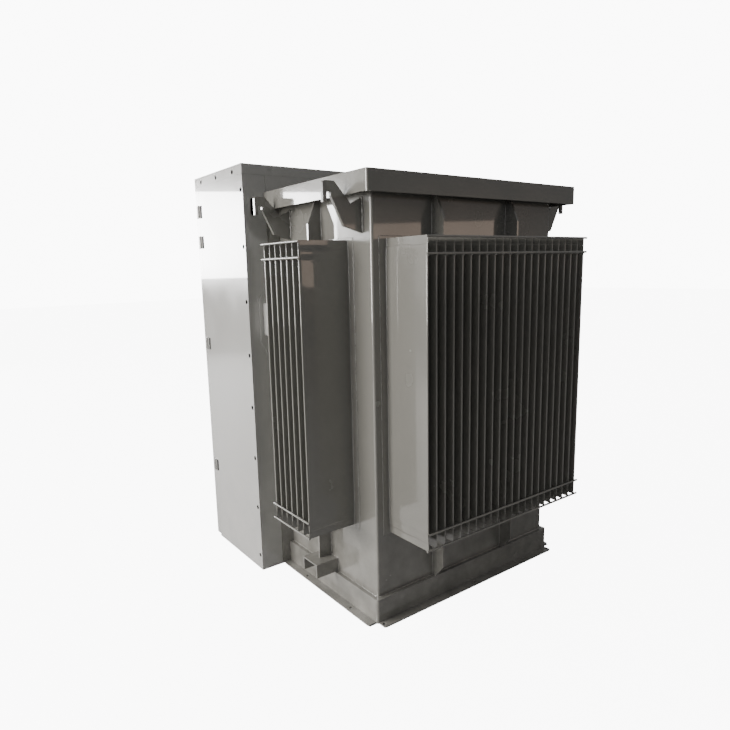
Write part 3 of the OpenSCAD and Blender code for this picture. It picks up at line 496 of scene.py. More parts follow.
class Shape:
    """Vertices and faces that are gathered before they become one object."""

    def __init__(self) -> None:
        """Starts empty."""
        self.points: list[np.ndarray] = []
        self.faces: list[list[int]] = []
        self.count = 0

    def add(self, points: np.ndarray, *faces: np.ndarray) -> None:
        """Adds a closed piece of mesh.

        Args:
            points: An array whose last axis is X, Y and Z.
            faces: Arrays of point numbers, one row to a face.
        """
        flat = points.reshape(-1, 3)
        for group in faces:
            self.faces += (group + self.count).tolist()
        self.points.append(flat)
        self.count += len(flat)

    def loft(self, rings: np.ndarray) -> None:
        """Adds a closed tube through rings of equal size, capped at both ends.

        Point j of ring i is number i n + j, with n points in a ring. Each wall face joins points j
        and j + 1 of rings i and i + 1.

        Args:
            rings: An array of shape (rings, points in a ring, 3), each ring going the same way round.
        """
        levels, around = rings.shape[:2]
        i, j = np.meshgrid(np.arange(levels - 1), np.arange(around), indexing="ij")
        k = (j + 1) % around
        walls = np.stack((i * around + j, i * around + k, (i + 1) * around + k, (i + 1) * around + j), -1)
        ring = np.arange(around)
        self.add(rings, walls.reshape(-1, 4), np.stack((ring[::-1], (levels - 1) * around + ring)))

    def block(self, low: Spot, high: Spot) -> None:
        """Adds a box.

        Args:
            low: The corner with the least coordinates.
            high: The opposite corner.
        """
        x, y, z = np.array((low, high), float).T
        ring = np.column_stack((x[[0, 1, 1, 0]], y[[0, 0, 1, 1]], np.zeros(4)))
        self.loft(ring + np.array(((0, 0, z[0]), (0, 0, z[1])))[:, None])

    def spin(self, profile: Profile, centre: Spot, steps: int = 36) -> None:
        """Adds a ring turned round an axis along Y.

        Point j at turn t lies at (x + r cos t, y - d, z + r sin t).

        Args:
            profile: Points (radius r, distance d towards -Y), anticlockwise with the radius drawn to
                the right, none of them on the axis.
            centre: The point (x, y, z) on the axis that distances are measured from.
            steps: The number of turns round the axis.
        """
        radius, out = np.array(profile).T
        around = len(profile)
        turn = 2 * np.pi * np.arange(steps) / steps
        points = np.stack((
            centre[0] + np.outer(np.cos(turn), radius),
            np.broadcast_to(centre[1] - out, (steps, around)),
            centre[2] + np.outer(np.sin(turn), radius),
        ), axis=-1)
        i, j = np.meshgrid(np.arange(steps), np.arange(around), indexing="ij")
        k, n = (j + 1) % around, (i + 1) % steps
        walls = np.stack((i * around + j, n * around + j, n * around + k, i * around + k), -1)
        self.add(points, walls.reshape(-1, 4))

    def turned(self, profile: Profile, centre: Spot, steps: int = 24, corners: int = 0) -> None:
        """Adds a solid turned round an axis along Y.

        Point t of ring i lies at (x + r cos t, y - d, z + r sin t). With corners, the rings of the
        largest radius take the polar form of a polygon, r / cos(((t + a) mod 2 a) - a), with
        a = pi / corners.

        Args:
            profile: Points (radius r, distance d towards -Y), from the back to the front.
            centre: The point (x, y, z) on the axis that distances are measured from.
            steps: The number of points in a ring.
            corners: The number of corners of the widest rings, or 0 for round ones.
        """
        radius, out = (column[:, None] for column in np.array(profile).T)
        turn = 2 * np.pi * np.arange(steps) / steps
        edge = radius * np.ones(steps)
        if corners:
            a = np.pi / corners
            edge = np.where(radius == radius.max(), radius / np.cos((turn + a) % (2 * a) - a), edge)
        self.loft(np.stack((
            centre[0] + edge * np.cos(turn),
            np.broadcast_to(centre[1] - out, edge.shape),
            centre[2] + edge * np.sin(turn),
        ), axis=-1))

    def ray(self, centre: Spot, turn: float, start: float, end: float, width: float, out: float) -> None:
        """Adds a flat bar on a plate that faces -Y, along a ray from a centre.

        Args:
            centre: The ray's start.
            turn: The ray's turn in degrees from +Z to -X.
            start: The distance to the bar's near end.
            end: The distance to its far end.
            width: The bar's width.
            out: Its thickness towards -Y.
        """
        a = math.radians(turn)
        along = np.array((-math.sin(a), 0, math.cos(a)))
        across = np.array((math.cos(a), 0, math.sin(a))) * width / 2
        far = np.array((start, start, end, end))[:, None] * along
        ring = np.array(centre) + far + np.array((-1, 1, 1, -1))[:, None] * across
        self.loft(np.stack((ring, ring - (0, out, 0))))

    def place(self, name: str, finish: bpy.types.Material, turn: Matrix | None = None) -> Object:
        """Makes the object.

        Args:
            name: Its name.
            finish: Its material.
            turn: A move that is put into the mesh, or None.

        Returns:
            The object, at the origin.
        """
        points = np.concatenate(self.points)
        if turn is not None:
            move = np.array(turn)
            points = points @ move[:3, :3].T + move[:3, 3]
        mesh = bpy.data.meshes.new(name)
        mesh.from_pydata(points.tolist(), [], self.faces)
        mesh.update()
        piece = bpy.data.objects.new(name, mesh)
        bpy.context.scene.collection.objects.link(piece)
        mesh.materials.append(finish)
        return piece

    def build(self, name: str, finish: Finish, body: Body, slot: str, sharp: float | None = None,
              turn: Matrix | None = None) -> Object:
        """Makes a piece of the part.

        Args:
            name: Its name.
            finish: Its finish.
            body: The body that it rides on.
            slot: Its material slot in the CAD record; not used.
            sharp: The angle above which edges stay sharp under smooth shading, or None for flat faces.
            turn: A move that is put into the mesh, or None.

        Returns:
            The piece.
        """
        piece = self.place(name, PALETTE.get(finish), turn)
        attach(piece, body.value)
        if sharp is not None:
            piece.data.shade_smooth()
            piece.data.set_sharp_from_angle(angle=math.radians(sharp))
        return piece


# ---------- corrugated fin panels ----------


@dataclass(frozen=True)
class FinBank:
    """One panel of pressed cooling fins, drawn along X with the tank wall at Y = 0.

    A fin's half thickness h(u) depends on the distance u from its nearer end. It is thin along the
    sealed edge, steps up to the pinched zone and eases to the full body, each by a smoothstep. The
    step's height wanders by w(f) = A sin(2 pi (1.4 f + p)) sin(pi f), where f runs from the root to
    the nose and p is the fin's own phase. The outline at each height is a root fillet, two flat sides
    that thin by a share of the taper near the nose, and a half circle as the nose itself.
    """

    name: str
    node: str
    count: int
    turn: Matrix
    pitch: float = 45 * MM
    reach: float = 233 * MM
    low: float = 382 * MM
    high: float = 1583 * MM
    sheet: float = 3 * MM
    sunk: float = 1 * MM
    edge: float = 35 * MM
    over: float = 8 * MM
    body: float = 5 * MM
    pinch: float = 3 * MM
    seal: float = 1.2 * MM
    seal_h: float = 28 * MM
    step_h: float = 7 * MM
    zone: float = 65 * MM
    ease: float = 16 * MM
    set_back: float = 0.5 * MM
    wander: float = 3.0 * MM
    waves: float = 1.4
    fillet: float = 4 * MM
    taper: float = 0.28
    taper_l: float = 38 * MM
    sharp: float = 50.0

    def half(self, up: np.ndarray) -> np.ndarray:
        """Works out a fin's half thickness, seal + (pinch - seal) s1 + (body - pinch) s2.

        Args:
            up: Distances from the nearer end of the fin.

        Returns:
            The half thickness at each distance.
        """
        first = smoothstep(np.clip((up - self.seal_h) / self.step_h, 0, 1))
        second = smoothstep(np.clip((up - self.zone + self.ease) / (2 * self.ease), 0, 1))
        return self.seal + (self.pinch - self.seal) * first + (self.body - self.pinch) * second

    def levels(self) -> np.ndarray:
        """Lists where a fin's outline is drawn: the end, the seal, its step and the eased zone.

        Returns:
            Distances from the end of the fin.
        """
        return np.concatenate((
            (0.0, self.seal_h / 2),
            self.seal_h + self.step_h * np.arange(5) / 4,
            self.zone - self.ease + 2 * self.ease * np.arange(6) / 6,
            (self.zone + self.ease,),
        ))

    def outline(self, half: np.ndarray, reach: np.ndarray) -> np.ndarray:
        """Draws the closed outlines of a fin, anticlockwise seen from above.

        The right side runs from the root fillet of radius q, (h + q (1 - sin a), q (1 - cos a)),
        along the flat x = h, to the taper x = h (1 - k s(t)). The nose is a half circle of radius
        h (1 - k), and the left side mirrors the right one.

        Args:
            half: The half thickness h at each level.
            reach: The fin's reach at each level.

        Returns:
            An array of shape (levels, points, 2).
        """
        half, reach = half[:, None], reach[:, None]
        one = np.ones_like(half)
        bend = np.radians((20, 50, 80))
        flat, thin = np.linspace(0.0, 0.8, 5), np.linspace(0.0, 0.75, 4)
        nose, nose_r = np.pi * np.arange(9) / 8, half * (1 - self.taper)
        start, end = self.sheet + self.fillet * 1.5, reach - nose_r
        x = np.hstack((
            half + self.fillet,
            half + self.fillet * (1 - np.sin(bend)),
            half * np.ones(flat.size),
            half * (1 - self.taper * smoothstep(thin)),
        ))
        y = np.hstack((
            one * (self.sheet - self.sunk),
            one * (self.sheet + self.fillet * (1 - np.cos(bend))),
            start + (end - self.taper_l - start) * flat,
            end - self.taper_l * (1 - thin),
        ))
        nose_x, nose_y = nose_r * np.cos(nose), end + nose_r * np.sin(nose)
        return np.stack((np.hstack((x, nose_x, -x[:, ::-1])), np.hstack((y, nose_y, y[:, ::-1]))), axis=-1)

    def drift(self, up: np.ndarray, out: np.ndarray, phase: float) -> np.ndarray:
        """Works out how far the seal's step wanders, w(f) inside the step and 0 elsewhere.

        Args:
            up: The distance of each level from the end of the fin.
            out: The distance of each point from the tank wall, by level.
            phase: The fin's own phase.

        Returns:
            The rise of each point, by level.
        """
        inside = (self.seal_h <= up) & (up <= self.seal_h + self.step_h)
        f = np.minimum(1.0, out / self.reach)
        wave = self.wander * np.sin(2 * np.pi * (self.waves * f + phase)) * np.sin(np.pi * f)
        return np.where(inside[:, None], wave, 0.0)

    def fin(self, phase: float) -> np.ndarray:
        """Draws one fin at X = 0, from its lower end to its upper end.

        Args:
            phase: The fin's own phase.

        Returns:
            Its rings, of shape (rings, points, 3).
        """
        levels = self.levels()
        up = np.concatenate((levels, levels[::-1]))
        end, sign = np.repeat(((self.low, self.high), (1.0, -1.0)), levels.size, axis=1)
        outline = self.outline(self.half(up), self.reach - np.where(up < self.zone, self.set_back, 0.0))
        rise = up[:, None] + self.drift(up, outline[..., 1], phase)
        z = end[:, None] + sign[:, None] * rise
        return np.concatenate((outline, z[..., None]), axis=-1)

    def build(self) -> Object:
        """Makes the panel and lets it stand for the CAD node.

        Returns:
            The panel.
        """
        shape = Shape()
        first = (self.count - 1) / 2 * self.pitch
        span = first + self.edge
        shape.block((-span, 0.0, self.low - self.over), (span, self.sheet, self.high + self.over))
        for index, phase in enumerate(np.random.default_rng(SEED).random(self.count)):
            shape.loft(self.fin(phase) + (index * self.pitch - first, 0, 0))
        piece = shape.build(self.name, FINS, Body.TRANSFORMER, "tank_paint", self.sharp, self.turn)
        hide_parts(self.node)
        return piece


@dataclass(frozen=True)
class RodTacks:
    """Tack welds where the tie rods cross the noses of one bank of fins.

    Each tack is a squat ball of radius r drawn as rings r sin(a) wide at heights -r cos(a).
    """

    count: int
    turn: Matrix
    pitch: float = 45 * MM
    reach: float = 234 * MM
    radius: float = 4.2 * MM
    around: int = 8

    def lay(self, shape: Shape, heights: tuple[float, ...]) -> None:
        """Adds the tacks of every crossing.

        Args:
            shape: The shape that gathers them.
            heights: The heights of the rods.
        """
        move = np.array(self.turn)
        a = np.pi * np.array((0.1, 0.3, 0.5, 0.7, 0.9))
        t = 2 * np.pi * np.arange(self.around) / self.around
        wide = self.radius * np.sin(a)
        ball = np.stack((
            np.outer(wide, np.cos(t)),
            self.reach + np.outer(wide, np.sin(t)),
            np.outer(-self.radius * np.cos(a), np.ones(self.around)),
        ), axis=-1)
        for z in heights:
            for x in (np.arange(self.count) - (self.count - 1) / 2) * self.pitch:
                shape.loft((ball + (x, 0, z)) @ move[:3, :3].T + move[:3, 3])


def wall_move(x: float, y: float, degrees: float) -> Matrix:
    """A turn about Z in degrees, then a move to a wall at (x, y)."""
    return Matrix.Translation((x, y, 0)) @ Matrix.Rotation(math.radians(degrees), 4, "Z")


@dataclass(frozen=True)
class FinPanels:
    """The rear panel and the two side panels, with tack welds on their tie rods."""

    rear: int = 22
    side: int = 7
    outer_rod: float = 4.5 * MM
    inner_rod: float = 69.5 * MM
    sharp: float = 80.0

    def build(self) -> list[Object]:
        """Makes the panels, then all the tacks as one piece.

        Returns:
            The pieces.
        """
        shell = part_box("tank_shell")[1]
        side_low, side_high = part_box("right_fin_panel")
        middle = (side_low.y + side_high.y) / 2
        rods_low, rods_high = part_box("fin_tie_rods")
        heights = (rods_low.z + self.outer_rod, rods_low.z + self.inner_rod,
                   rods_high.z - self.inner_rod, rods_high.z - self.outer_rod)
        tacks, pieces = Shape(), []
        for name, node, count, turn in (
            ("rear_fins", "rear_fin_panel", self.rear, wall_move(0, shell.y, 0)),
            ("right_fins", "right_fin_panel", self.side, wall_move(shell.x, middle, -90)),
            ("left_fins", "left_fin_panel", self.side, wall_move(-shell.x, middle, 90)),
        ):
            pieces.append(FinBank(name, node, count, turn).build())
            RodTacks(count, turn).lay(tacks, heights)
        pieces.append(tacks.build("tie_rod_tacks", WELD, Body.TRANSFORMER, "tank_paint", self.sharp))
        return pieces


# ---------- weld beads ----------


@dataclass
class Beads:
    """Painted weld beads: lumpy tubes laid along corners.

    Ring i of a bead has radius r (1 + k n_i), where n_i is drawn from a seeded normal distribution
    and k is the bead's lumpiness, so no two beads look alike and every run gives the same ones.
    """

    shape: Shape = field(default_factory=Shape)
    random: np.random.Generator = field(default_factory=lambda: np.random.default_rng(SEED))
    step: float = 7 * MM
    sides: int = 8
    least: int = 4
    widest: float = 1.5
    end_share: float = 0.45

    def run(self, start: Spot, end: Spot, radius: float = 3.2 * MM, lumps: float = 0.16) -> None:
        """Lays one straight bead, a tube of points c + r_i (side cos t + up sin t).

        Args:
            start: Where the bead begins.
            end: Where it stops.
            radius: Its mean radius r.
            lumps: Its lumpiness k.
        """
        a, b = Vector(start), Vector(end)
        along = (b - a).normalized()
        side = along.orthogonal().normalized()
        up = along.cross(side)
        rings = max(self.least, int((b - a).length / self.step))
        draws = np.clip(self.random.normal(size=rings + 1), -self.widest, self.widest)
        radii = radius * (1 + lumps * draws)
        radii[[0, -1]] *= self.end_share
        middles = np.array(a) + np.outer(np.arange(rings + 1) / rings, np.array(b - a))
        t = 2 * np.pi * np.arange(self.sides) / self.sides
        rim = np.outer(np.cos(t), np.array(side)) + np.outer(np.sin(t), np.array(up))
        self.shape.loft(middles[:, None] + radii[:, None, None] * rim)

    def both(self, start: Spot, end: Spot, radius: float = 3.2 * MM, lumps: float = 0.16) -> None:
        """Lays a bead, given as for run, on the +X side and its mirror on the -X side."""
        for sign in (1, -1):
            self.run((sign * start[0], *start[1:]), (sign * end[0], *end[1:]), radius, lumps)


@dataclass(frozen=True)
class TankWelds:
    """Welds on the tank: ribs, lugs, fin panels, base and jacking channels."""

    rib_x: float = 225 * MM
    rib_side: float = 5.5 * MM
    rib_short: float = 20 * MM
    gap: float = 4 * MM
    low_gap: float = 3 * MM
    lug_side: float = 8 * MM
    lug_in: float = 7 * MM
    lug_tall: float = 136 * MM
    lug_r: float = 5.5 * MM
    lug_lumps: float = 0.3
    panel_r: float = 2.4 * MM
    base_r: float = 3.6 * MM
    base_start: float = 12 * MM
    base_in: float = 8 * MM
    jack_r: float = 3.4 * MM
    sharp: float = 80.0

    def ribs(self, beads: Beads) -> None:
        """Lays the beads along the ribs above and below the fin panels.

        Args:
            beads: The beads laid so far.
        """
        half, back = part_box("tank_shell")[1].xy
        panel_low, panel_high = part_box("rear_fin_panel")
        low, high = panel_low.z - self.gap, panel_high.z + self.gap
        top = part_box("wall_ribs")[1].z - self.rib_short
        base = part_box("base_frame")[1].z + self.gap
        jack_low, jack_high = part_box("jacking_channels")
        for rib in (-self.rib_x, self.rib_x):
            for x in (rib - self.rib_side, rib + self.rib_side):
                beads.run((x, back, high), (x, back, top))
                beads.run((x, back, base), (x, back, low))
        middle = (jack_low.y + jack_high.y) / 2
        for y in (middle - self.rib_side, middle + self.rib_side):
            beads.both((half, y, high), (half, y, top))
            beads.both((half, y, jack_high.z + self.low_gap), (half, y, low))

    def lugs(self, beads: Beads) -> None:
        """Lays the heavy beads on both sides of each lifting lug.

        Args:
            beads: The beads laid so far.
        """
        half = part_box("tank_shell")[1].x
        low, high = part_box("lifting_lugs")
        for lug in (low.y + self.lug_in, high.y - self.lug_in):
            for y in (lug - self.lug_side, lug + self.lug_side):
                beads.both((half, y, low.z + self.low_gap), (half, y, low.z + self.lug_tall),
                           self.lug_r, self.lug_lumps)

    def panels(self, beads: Beads) -> None:
        """Lays the fine beads round the fin panels, uprights first.

        Args:
            beads: The beads laid so far.
        """
        half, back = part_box("tank_shell")[1].xy
        low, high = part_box("rear_fin_panel")
        side_low, side_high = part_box("right_fin_panel")
        for x in (low.x, high.x):
            beads.run((x, back, low.z), (x, back, high.z), self.panel_r)
        for y in (side_low.y, side_high.y):
            beads.both((half, y, low.z), (half, y, high.z), self.panel_r)
        for z in (low.z, high.z):
            beads.run((low.x, back, z), (high.x, back, z), self.panel_r)
            beads.both((half, side_low.y, z), (half, side_high.y, z), self.panel_r)

    def base(self, beads: Beads) -> None:
        """Lays the beads along the base frame and round the jacking channels.

        Args:
            beads: The beads laid so far.
        """
        half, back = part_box("tank_shell")[1].xy
        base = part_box("base_frame")[1].z
        low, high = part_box("jacking_channels")
        inner = half - self.base_in
        beads.run((-inner, back, base), (inner, back, base), self.base_r)
        beads.both((half, self.base_start, base), (half, back - self.base_in, base), self.base_r)
        for y in (low.y, high.y):
            beads.both((half, y, base), (half, y, high.z), self.jack_r)
        beads.both((half, low.y, high.z), (half, high.y, high.z), self.jack_r)

    def build(self) -> list[Object]:
        """Lays every bead, in one order, as one piece.

        Returns:
            The piece.
        """
        beads = Beads()
        self.ribs(beads)
        self.lugs(beads)
        self.panels(beads)
        self.base(beads)
        return [beads.shape.build("tank_weld_beads", WELD, Body.TRANSFORMER, "tank_paint", self.sharp)]


@dataclass(frozen=True)
class HingeSlotPaintedShade:
    """Painted shade: black strips just inside the hinge slots, which make the slots read as dark as the shade
    within them.
    """

    levels: tuple[float, ...] = (421 * MM, 1097 * MM, 1624 * MM, 1777 * MM)
    axis: float = -506.5 * MM
    near: float = 18.2 * MM
    far: float = 36 * MM
    tall: float = 64 * MM
    sheet: float = 2 * MM
    behind: float = 0.4 * MM
    depth: float = 2 * MM

    def build(self) -> list[Object]:
        """Makes the painted-shade strips of the cabinet and of each door.

        Returns:
            The three pieces.
        """
        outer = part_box("cabinet_right_panel")[1].x - self.sheet - self.behind
        pieces = []
        for name, body, signs, side in (
            ("cabinet_hinge_slot_painted_shade", Body.TRANSFORMER, (-1, 1), 1),
            ("lv_door_hinge_slot_painted_shade", Body.LV_DOOR, (1,), -1),
            ("hv_door_hinge_slot_painted_shade", Body.HV_DOOR, (-1,), -1),
        ):
            shape = Shape()
            for sign in signs:
                x0, x1 = sorted((sign * outer, sign * (outer - self.depth)))
                y0, y1 = sorted((self.axis + side * self.near, self.axis + side * self.far))
                for z in self.levels:
                    shape.block((x0, y0, z - self.tall / 2), (x1, y1, z + self.tall / 2))
            # painted shade: the black rubber finish stands in for the shade inside each hinge slot
            pieces.append(shape.build(name, RUBBER, body, "seal_rubber"))
        return pieces


# ---------- fittings behind the doors ----------


def front_of(node: str) -> Spot:
    """The middle of a node's front face."""
    low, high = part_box(node)
    return ((low.x + high.x) / 2, low.y, (low.z + high.z) / 2)


def in_row(node: str, count: int) -> np.ndarray:
    """Finds the X of each of several equal solids that stand in a row, evenly from end to end.

    Args:
        node: The CAD node that holds them.
        count: How many there are.

    Returns:
        Their X, or the node's middle for one solid.
    """
    if count == 1:
        return np.array((front_of(node)[0],))
    low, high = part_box(node)
    width = min(high.z - low.z, high.x - low.x)
    return low.x + width / 2 + (high.x - low.x - width) * np.arange(count) / (count - 1)


@dataclass(frozen=True)
class Dial:
    """A gauge's face: a steel bezel, a white plate, a scale of ticks and a pointer.

    The profiles are in millimetres. The bezel's and plate's radii are counted from the inner radius.
    """

    name: str
    node: str
    sweep: tuple[float, float]
    ticks: int
    pointer: float
    radius: float = 52 * MM
    rim: float = 5 * MM
    steps: int = 48
    bezel: Profile = ((0, -1), (5, -1), (5, 2), (3.5, 4), (1, 4), (0, 3))
    plate: Profile = ((1, -0.5), (1, 0.6))
    hub: Profile = ((4, -0.2), (4, 1.6), (2.5, 2.2))
    every: int = 5
    long: float = 9 * MM
    short: float = 5 * MM
    bold: float = 1.6 * MM
    fine: float = 0.9 * MM
    tick_in: float = 3 * MM
    tick_at: float = 0.5 * MM
    tick_out: float = 0.4 * MM
    hand_at: float = 1.2 * MM
    hand_back: float = 9 * MM
    hand_in: float = 12 * MM
    hand_w: float = 2.2 * MM
    hand_out: float = 0.6 * MM
    sharp: float = 30.0

    def scale(self, centre: Spot, inner: float) -> Shape:
        """Draws the ticks, evenly over the sweep, with every fifth one long and bold.

        Args:
            centre: The middle of the gauge's front.
            inner: The bezel's inner radius.

        Returns:
            The ticks.
        """
        shape = Shape()
        first, last = self.sweep
        at = (centre[0], centre[1] - self.tick_at, centre[2])
        for i in range(self.ticks):
            turn = first + (last - first) * i / (self.ticks - 1)
            length, width = (self.short, self.fine) if i % self.every else (self.long, self.bold)
            end = inner - self.tick_in
            shape.ray(at, turn, end - length, end, width, self.tick_out)
        return shape

    def build(self) -> list[Object]:
        """Makes the dial.

        Returns:
            Its four pieces.
        """
        centre = front_of(self.node)
        inner = self.radius - self.rim
        bezel, plate, hand = Shape(), Shape(), Shape()
        bezel.spin(in_mm(self.bezel, inner), centre, self.steps)
        plate.turned(in_mm(self.plate, inner), centre, self.steps)
        at = (centre[0], centre[1] - self.hand_at, centre[2])
        hand.ray(at, self.pointer, -self.hand_back, inner - self.hand_in, self.hand_w, self.hand_out)
        hand.turned(in_mm(self.hub), at)
        return [
            shape.build(f"{self.name}_{part}", finish, Body.TRANSFORMER, slot, self.sharp)
            for part, shape, finish, slot in (
                ("bezel", bezel, ZINC, "zinc_steel"),
                ("plate", plate, DIAL_WHITE, "terminal_metal"),
                ("scale", self.scale(centre, inner), PRINT_BLACK, "black_housing"),
                ("pointer", hand, RED, "red_handle"),
            )
        ]


@dataclass(frozen=True)
class NutRing:
    """Nuts in a circle on each flange of a node: solids, circle's radius, flange, count and width."""

    node: str
    solids: int
    reach: float
    thick: float
    count: int
    across: float


@dataclass(frozen=True)
class FlangeNuts:
    """Hexagon nuts on the flanges of the bushings, fuses and switch, each with its stud's end.

    The profile gives radii as shares of half the nut's width, and distances in millimetres.
    """

    rings: tuple[NutRing, ...] = (
        NutRing("hv_bushings", 3, 49.6 * MM, 12 * MM, 4, 8 * MM),
        NutRing("lv_bushings", 4, 43.5 * MM, 14 * MM, 4, 10 * MM),
        NutRing("fuse_housings", 3, 32.5 * MM, 10 * MM, 3, 9 * MM),
        NutRing("load_break_switch", 1, 33 * MM, 6 * MM, 4, 9 * MM),
    )
    profile: Profile = ((1, -0.3), (1, 4.5), (0.85, 5.5), (0.55, 5.5), (0.55, 8.5))
    steps: int = 12
    corners: int = 6
    sharp: float = 30.0

    def build(self) -> list[Object]:
        """Sets nut i at turn 2 pi (i + 1/2) / n of its circle.

        Returns:
            The nuts, as one piece.
        """
        nuts = Shape()
        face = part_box("tank_front_plate")[0].y
        for ring in self.rings:
            z = front_of(ring.node)[2]
            profile = tuple((ring.across / 2 * share, out * MM) for share, out in self.profile)
            for x in in_row(ring.node, ring.solids):
                for t in 2 * np.pi * (np.arange(ring.count) + 0.5) / ring.count:
                    centre = (x + ring.reach * np.cos(t), face - ring.thick, z + ring.reach * np.sin(t))
                    nuts.turned(profile, centre, self.steps, self.corners)
        return [nuts.build("flange_nuts", ZINC, Body.TRANSFORMER, "zinc_steel", self.sharp)]


@dataclass(frozen=True)
class BushingTrim:
    """Dark collars and brass tips on the high-voltage bushings, and glazed sheds on the others.

    The profiles are in millimetres, out from the front plate. A shed's are out from its own place.
    """

    collar: Profile = ((40, 11), (46, 11), (46, 22), (43.5, 26), (40, 26))
    tip: Profile = ((15, 124), (21.5, 124), (21.5, 139), (19.5, 140.5), (15, 140.5))
    shed: Profile = ((34, 0), (42, 1), (43, 2.5), (41, 4), (34, 9))
    shed_at: tuple[float, ...] = (26 * MM, 44 * MM, 62 * MM)
    sharp: float = 30.0

    def build(self) -> list[Object]:
        """Makes the trim.

        Returns:
            The collars, the tips and the sheds.
        """
        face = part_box("tank_front_plate")[0].y
        collars, tips, sheds = Shape(), Shape(), Shape()
        z = front_of("hv_bushings")[2]
        for x in in_row("hv_bushings", 3):
            collars.spin(in_mm(self.collar), (x, face, z))
            tips.spin(in_mm(self.tip), (x, face, z))
        z = front_of("lv_bushings")[2]
        for x in in_row("lv_bushings", 4):
            for out in self.shed_at:
                sheds.spin(in_mm(self.shed), (x, face - out, z))
        return [
            shape.build(name, finish, Body.TRANSFORMER, slot, self.sharp)
            for name, shape, finish, slot in (
                ("hv_bushing_collars", collars, PRINT_BLACK, "black_housing"),
                ("hv_bushing_tips", tips, BRASS, "brass_fittings"),
                ("lv_bushing_sheds", sheds, PORCELAIN, "bushing_porcelain"),
            )
        ]


@dataclass(frozen=True)
class PlateMarks:
    """Blank rows and rivets on the rating plate, and the tap changer's position marks."""

    rows: int = 8
    columns: tuple[tuple[float, float], ...] = ((14 * MM, 58 * MM), (64 * MM, 110 * MM), (118 * MM, 166 * MM))
    row_top: float = 22 * MM
    row_pitch: float = 13 * MM
    row_half: float = 1.2 * MM
    row_out: float = 0.25 * MM
    row_sunk: float = 0.2 * MM
    rivet_in: float = 6 * MM
    rivet: Profile = ((3, -0.3), (2.8, 1), (1.6, 1.8))
    rivet_steps: int = 12
    rivet_sharp: float = 35.0
    taps: int = 5
    tap_turn: float = 36.0
    tap_span: tuple[float, float] = (62 * MM, 72 * MM)
    tap_w: float = 3 * MM
    tap_sunk: float = 0.2 * MM
    tap_out: float = 0.5 * MM

    def plate(self) -> list[Object]:
        """Makes the rating plate's rows and rivets.

        Returns:
            The two pieces.
        """
        low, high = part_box("rating_plate")
        rows, rivets = Shape(), Shape()
        for row in range(self.rows):
            z = high.z - (self.row_top + self.row_pitch * row)
            for start, end in self.columns:
                rows.block((low.x + start, low.y - self.row_out, z - self.row_half),
                           (low.x + end, low.y + self.row_sunk, z + self.row_half))
        for x in (low.x + self.rivet_in, high.x - self.rivet_in):
            for z in (low.z + self.rivet_in, high.z - self.rivet_in):
                rivets.turned(in_mm(self.rivet), (x, low.y, z), self.rivet_steps)
        return [
            rows.build("rating_plate_rows", PRINT_BLACK, Body.TRANSFORMER, "black_housing"),
            rivets.build("rating_plate_rivets", ALUMINIUM, Body.TRANSFORMER, "terminal_metal",
                         self.rivet_sharp),
        ]

    def build(self) -> list[Object]:
        """Makes the plate's marks, then the tap changer's.

        Returns:
            The three pieces.
        """
        pieces = self.plate()
        marks = Shape()
        x, _, z = front_of("tap_changer")
        at = (x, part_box("tank_front_plate")[0].y + self.tap_sunk, z)
        for step in range(self.taps):
            marks.ray(at, self.tap_turn * step, *self.tap_span, self.tap_w, self.tap_out)
        pieces.append(marks.build("tap_position_marks", DIAL_WHITE, Body.TRANSFORMER, "terminal_metal"))
        return pieces


@dataclass(frozen=True)
class Fittings:
    """Everything small on the wall behind the doors."""

    level: Dial = Dial("level_dial", "level_gauge", (60.0, -60.0), 11, -8.0)
    thermometer: Dial = Dial("thermometer_dial", "oil_thermometer", (135.0, -135.0), 31, 62.0)
    nuts: FlangeNuts = FlangeNuts()
    trim: BushingTrim = BushingTrim()
    marks: PlateMarks = PlateMarks()

    def build(self) -> list[Object]:
        """Makes each fitting in turn, and returns all their pieces."""
        parts = (self.level, self.thermometer, self.nuts, self.trim, self.marks)
        return [piece for part in parts for piece in part.build()]


# ---------- camera, floor and lights ----------


@dataclass(frozen=True)
class Viewpoint:
    """The camera: its place, its direction in degrees and its lens, for a square picture."""

    place: Spot = (1.963, 2.508, 1.473)
    heading: float = 234.445
    pitch: float = -9.915
    roll: float = -1.511
    lens: float = 29.35
    shift: tuple[float, float] = (0.0229, 0.0101)
    nearest: float = 0.05
    farthest: float = 100.0

    def build(self) -> list[Object]:
        """Makes the scene's camera, looking along (cos e cos a, cos e sin a, sin e).

        Returns:
            The camera.
        """
        az, el, ro = (math.radians(v) for v in (self.heading, self.pitch, self.roll))
        ahead = Vector((math.cos(el) * math.cos(az), math.cos(el) * math.sin(az), math.sin(el)))
        right = Vector((math.sin(az), -math.cos(az), 0))
        up = right.cross(ahead)
        right, up = right * math.cos(ro) + up * math.sin(ro), up * math.cos(ro) - right * math.sin(ro)
        data = bpy.data.cameras.new("camera")
        data.lens = self.lens
        data.shift_x, data.shift_y = self.shift
        data.clip_start, data.clip_end = self.nearest, self.farthest
        camera = bpy.data.objects.new("camera", data)
        axes = Matrix((right, up, -ahead)).transposed().to_4x4()
        camera.matrix_world = Matrix.Translation(self.place) @ axes
        bpy.context.scene.collection.objects.link(camera)
        bpy.context.scene.camera = camera
        return [camera]


@dataclass(frozen=True)
class Lamp:
    """A soft area light aimed at a point."""

    name: str
    place: Spot
    target: Spot
    size: tuple[float, float]
    power: float
    colour: Colour = (1.0, 1.0, 1.0)

    def build(self) -> list[Object]:
        """Makes the light.

        Returns:
            The light.
        """
        data = bpy.data.lights.new(self.name, "AREA")
        data.shape = "RECTANGLE"
        data.size, data.size_y = self.size
        data.energy = self.power
        data.color = self.colour
        lamp = bpy.data.objects.new(self.name, data)
        aim = (Vector(self.target) - Vector(self.place)).to_track_quat("-Z", "Y")
        lamp.matrix_world = Matrix.Translation(self.place) @ aim.to_matrix().to_4x4()
        bpy.context.scene.collection.objects.link(lamp)
        return [lamp]


